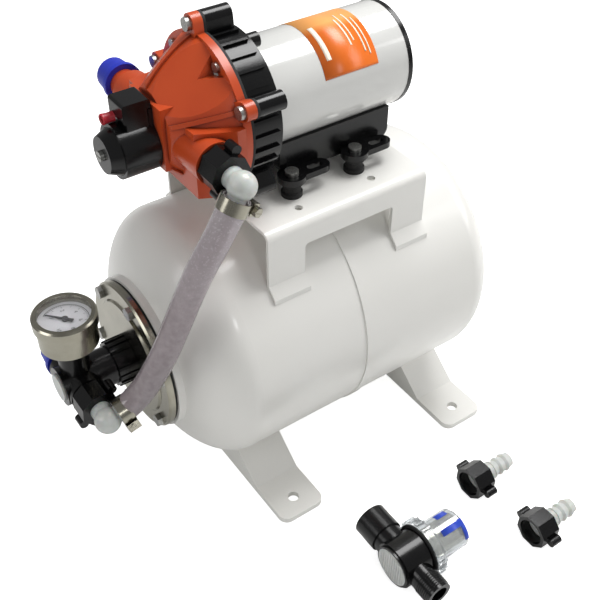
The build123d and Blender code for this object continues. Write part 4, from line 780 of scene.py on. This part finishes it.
ink, ink_tree, ink_shader = new_material("black_printing_ink", "#1B1B22", 0.6)
ink_place = add_node(ink_tree, "ShaderNodeTexCoord")
ink_grain = 0.0009
ink_film = add_node(ink_tree, "ShaderNodeTexNoise", {"Scale": 1 / ink_grain},
                    {"Vector": (ink_place, "Object")})
ink_tone = add_node(ink_tree, "ShaderNodeValToRGB", None, {"Fac": (ink_film, "Fac")})
ink_tone.color_ramp.elements[0].color = linear("#14141A")
ink_tone.color_ramp.elements[1].color = linear("#2A2A32")
ink_tree.links.new(ink_tone.outputs["Color"], ink_shader.inputs["Base Color"])
dress(ink, "gauge_needle")

dial_low, dial_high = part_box("gauge_dial")
dial_centre = (Vector(dial_low) + Vector(dial_high)) / 2
dial_centre.z = dial_high[2]
zero_turn = radians(131.0)
scale_sweep = radians(270)
scale_steps = 50
scale_outer = 0.0165
tick_long = 0.0032
tick_short = 0.0016
tick_half_width = 0.00016
ink_lift = 0.00012
number_step = 10
number_circle = 0.0105
number_height = 0.0040
number_value = 2
ticks = bmesh.new()
for index in range(scale_steps + 1):
    angle = zero_turn - scale_sweep * index / scale_steps
    length = tick_long if index % (number_step // 2) == 0 else tick_short
    along = Vector((cos(angle), sin(angle), 0))
    across = Vector((-sin(angle), cos(angle), 0)) * tick_half_width
    base = dial_centre + Vector((0, 0, ink_lift))
    outer = base + along * scale_outer
    inner = base + along * (scale_outer - length)
    corners = (outer + across, outer - across, inner - across, inner + across)
    ticks.faces.new([ticks.verts.new(corner) for corner in corners])
arc_steps = 90
arc_half_width = 0.0002
for step in range(arc_steps):
    rim = []
    for turn, radius in ((step, 1), (step + 1, 1), (step + 1, -1), (step, -1)):
        angle = zero_turn - scale_sweep * turn / arc_steps
        reach = scale_outer + radius * arc_half_width
        spot = Vector((cos(angle) * reach, sin(angle) * reach, ink_lift))
        rim.append(ticks.verts.new(dial_centre + spot))
    ticks.faces.new(rim)
dial_scale = mesh_piece("dial_scale", ticks)
dial_scale.data.materials.append(ink)
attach(dial_scale, "root")

dial_up = zero_turn - scale_sweep / 2
for index in range(0, scale_steps + 1, number_step):
    angle = zero_turn - scale_sweep * index / scale_steps
    text = bpy.data.curves.new(f"dial_number_{index}", "FONT")
    text.body = str(index // number_step * number_value)
    text.size = number_height
    text.align_x = "CENTER"
    text.align_y = "CENTER"
    number = bpy.data.objects.new(f"dial_number_{index}", text)
    along = Vector((cos(angle), sin(angle), 0))
    number.location = dial_centre + along * number_circle + Vector((0, 0, ink_lift))
    number.rotation_euler = (0, 0, dial_up - pi / 2)
    bpy.context.scene.collection.objects.link(number)
    text.materials.append(ink)
    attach(number, "root")


# Strainer bowl
# A clear moulded bowl with a ribbed ring, through which the steel screen shows. Three plain blue
# bars are printed on it.
bowl_plastic, bowl_tree, bowl_shader = new_material("clear_styrene", "#F2F6F8", 0.06, ior=1.57)
bowl_shader.inputs["Transmission Weight"].default_value = 0.85
bowl_place = add_node(bowl_tree, "ShaderNodeTexCoord")
ripple_size = 0.005
bowl_wave = add_node(bowl_tree, "ShaderNodeTexNoise", {"Scale": 1 / ripple_size},
                     {"Vector": (bowl_place, "Object")})
bowl_bump = add_node(bowl_tree, "ShaderNodeBump", {"Strength": 0.1, "Distance": 0.0003},
                     {"Height": (bowl_wave, "Fac")})
bowl_tree.links.new(bowl_bump.outputs["Normal"], bowl_shader.inputs["Normal"])
dress(bowl_plastic, "strainer_bowl")

blue_ink, blue_tree, blue_shader = new_material("blue_printing_ink", "#2748C0", 0.35)
blue_place = add_node(blue_tree, "ShaderNodeTexCoord")
blue_grain = 0.001
blue_film = add_node(blue_tree, "ShaderNodeTexNoise", {"Scale": 1 / blue_grain},
                     {"Vector": (blue_place, "Object")})
blue_tone = add_node(blue_tree, "ShaderNodeValToRGB", None, {"Fac": (blue_film, "Fac")})
blue_tone.color_ramp.elements[0].color = linear("#1D3AB0")
blue_tone.color_ramp.elements[1].color = linear("#3558D2")
blue_tree.links.new(blue_tone.outputs["Color"], blue_shader.inputs["Base Color"])
strainer_axis = Vector((0, -0.203, 0.02295))
bowl_radius = 0.0158
bowl_axis = (strainer_axis.y, strainer_axis.z, bowl_radius)
blue_bars = ((-0.0125, -0.0090, -75, -12), (-0.0290, -0.0100, -32, -14), (-0.0240, -0.0140, 18, 40))
for index, (front_x, rear_x, start, end) in enumerate(blue_bars):
    plain_bar = round_patch(f"bowl_bar_{index}", bowl_axis, front_x, rear_x,
                            radians(start), radians(end), bar_lift)
    plain_bar.data.materials.append(blue_ink)
    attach(plain_bar, "bowl")


# Strainer details
# The body's closed end carries a pale ribbed disc, a black seal shows between body and bowl, and
# the outlet has a moulded half inch thread, whose crests stand just proud of the plain CAD port.
disc_radius = 0.0150
disc_sheet = 0.0004
disc_rib = 0.0004
disc_rib_gap = 0.0024
disc_side_ribs = 5
disc_rib_share = 0.92
disc_taper = 0.98
disc_steps = 72
disc_mesh = bmesh.new()
disc_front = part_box("strainer_body")[0][0]
disc_face = disc_front - disc_sheet
rim = []
for step in range(disc_steps):
    angle = 2 * pi * step / disc_steps
    rim.append(Vector((0, disc_radius * cos(angle), disc_radius * sin(angle))))
back_centre = strainer_axis + Vector((disc_front, 0, 0))
front_centre = strainer_axis + Vector((disc_face, 0, 0))
back_rim = [disc_mesh.verts.new(back_centre + spot) for spot in rim]
front_rim = [disc_mesh.verts.new(front_centre + spot * disc_taper) for spot in rim]
disc_mesh.faces.new(back_rim)
disc_mesh.faces.new(list(reversed(front_rim)))
for index in range(disc_steps):
    following = (index + 1) % disc_steps
    disc_mesh.faces.new((back_rim[index], front_rim[index], front_rim[following], back_rim[following]))
for index in range(-disc_side_ribs, disc_side_ribs + 1):
    offset = index * disc_rib_gap
    reach = (disc_radius ** 2 - offset ** 2) ** 0.5 * disc_rib_share
    rib_middle = front_centre + Vector((0, offset, 0))
    box_faces(disc_mesh, rib_middle - Vector((disc_rib, disc_rib, reach)),
              rib_middle + Vector((0, disc_rib, reach)))
disc = mesh_piece("strainer_disc", disc_mesh)
disc.data.materials.append(natural)
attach(disc, "strainer")


# A black rubber seal shows between the body and the bowl.
seal_front = -0.0452
seal_rear = -0.0438
seal_inner = 0.0181
seal_outer = 0.0206
seal_edge = 0.0003
seal_profile = [(seal_front, seal_inner), (seal_rear, seal_inner), (seal_rear, seal_outer),
                (seal_front + seal_edge, seal_outer), (seal_front, seal_outer - seal_edge)]
seal = turned_piece("strainer_seal", seal_profile, strainer_axis.y, strainer_axis.z)
seal.data.materials.append(epdm)
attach(seal, "strainer")
thread_steps = 36


def thread_turns(name, start, along, radius, pitch, turns, crest):
    """A round crest wound around a port, from start along its axis."""
    thread = bpy.data.curves.new(name, "CURVE")
    thread.dimensions = "3D"
    thread.bevel_depth = crest
    thread.bevel_resolution = 2
    thread.use_fill_caps = True
    side = Vector((0, 0, 1))
    other = along.cross(side)
    steps = thread_steps
    spline = thread.splines.new("POLY")
    spline.points.add(turns * steps)
    for index in range(turns * steps + 1):
        angle = 2 * pi * index / steps
        ease = min(1.0, index / steps, (turns * steps - index) / steps)
        reach = radius - crest * (1 - ease)
        outward = side * cos(angle) + other * sin(angle)
        spot = start + along * (pitch * index / steps) + outward * reach
        spline.points[index].co = (*spot, 1)
    piece = bpy.data.objects.new(name, thread)
    bpy.context.scene.collection.objects.link(piece)
    piece.data.materials.append(nylon)
    return piece


thread_pitch = 0.0018
thread_crest = 0.00055
thread_proud = 0.0001
port_radius = 0.0103
thread_count = 8
port_x = -0.057
thread_start_y = -0.2245
outlet_thread = thread_turns("strainer_thread", Vector((port_x, thread_start_y, strainer_axis.z)),
                             Vector((0, -1, 0)), port_radius + thread_proud, thread_pitch,
                             thread_count, thread_crest)
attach(outlet_thread, "strainer")
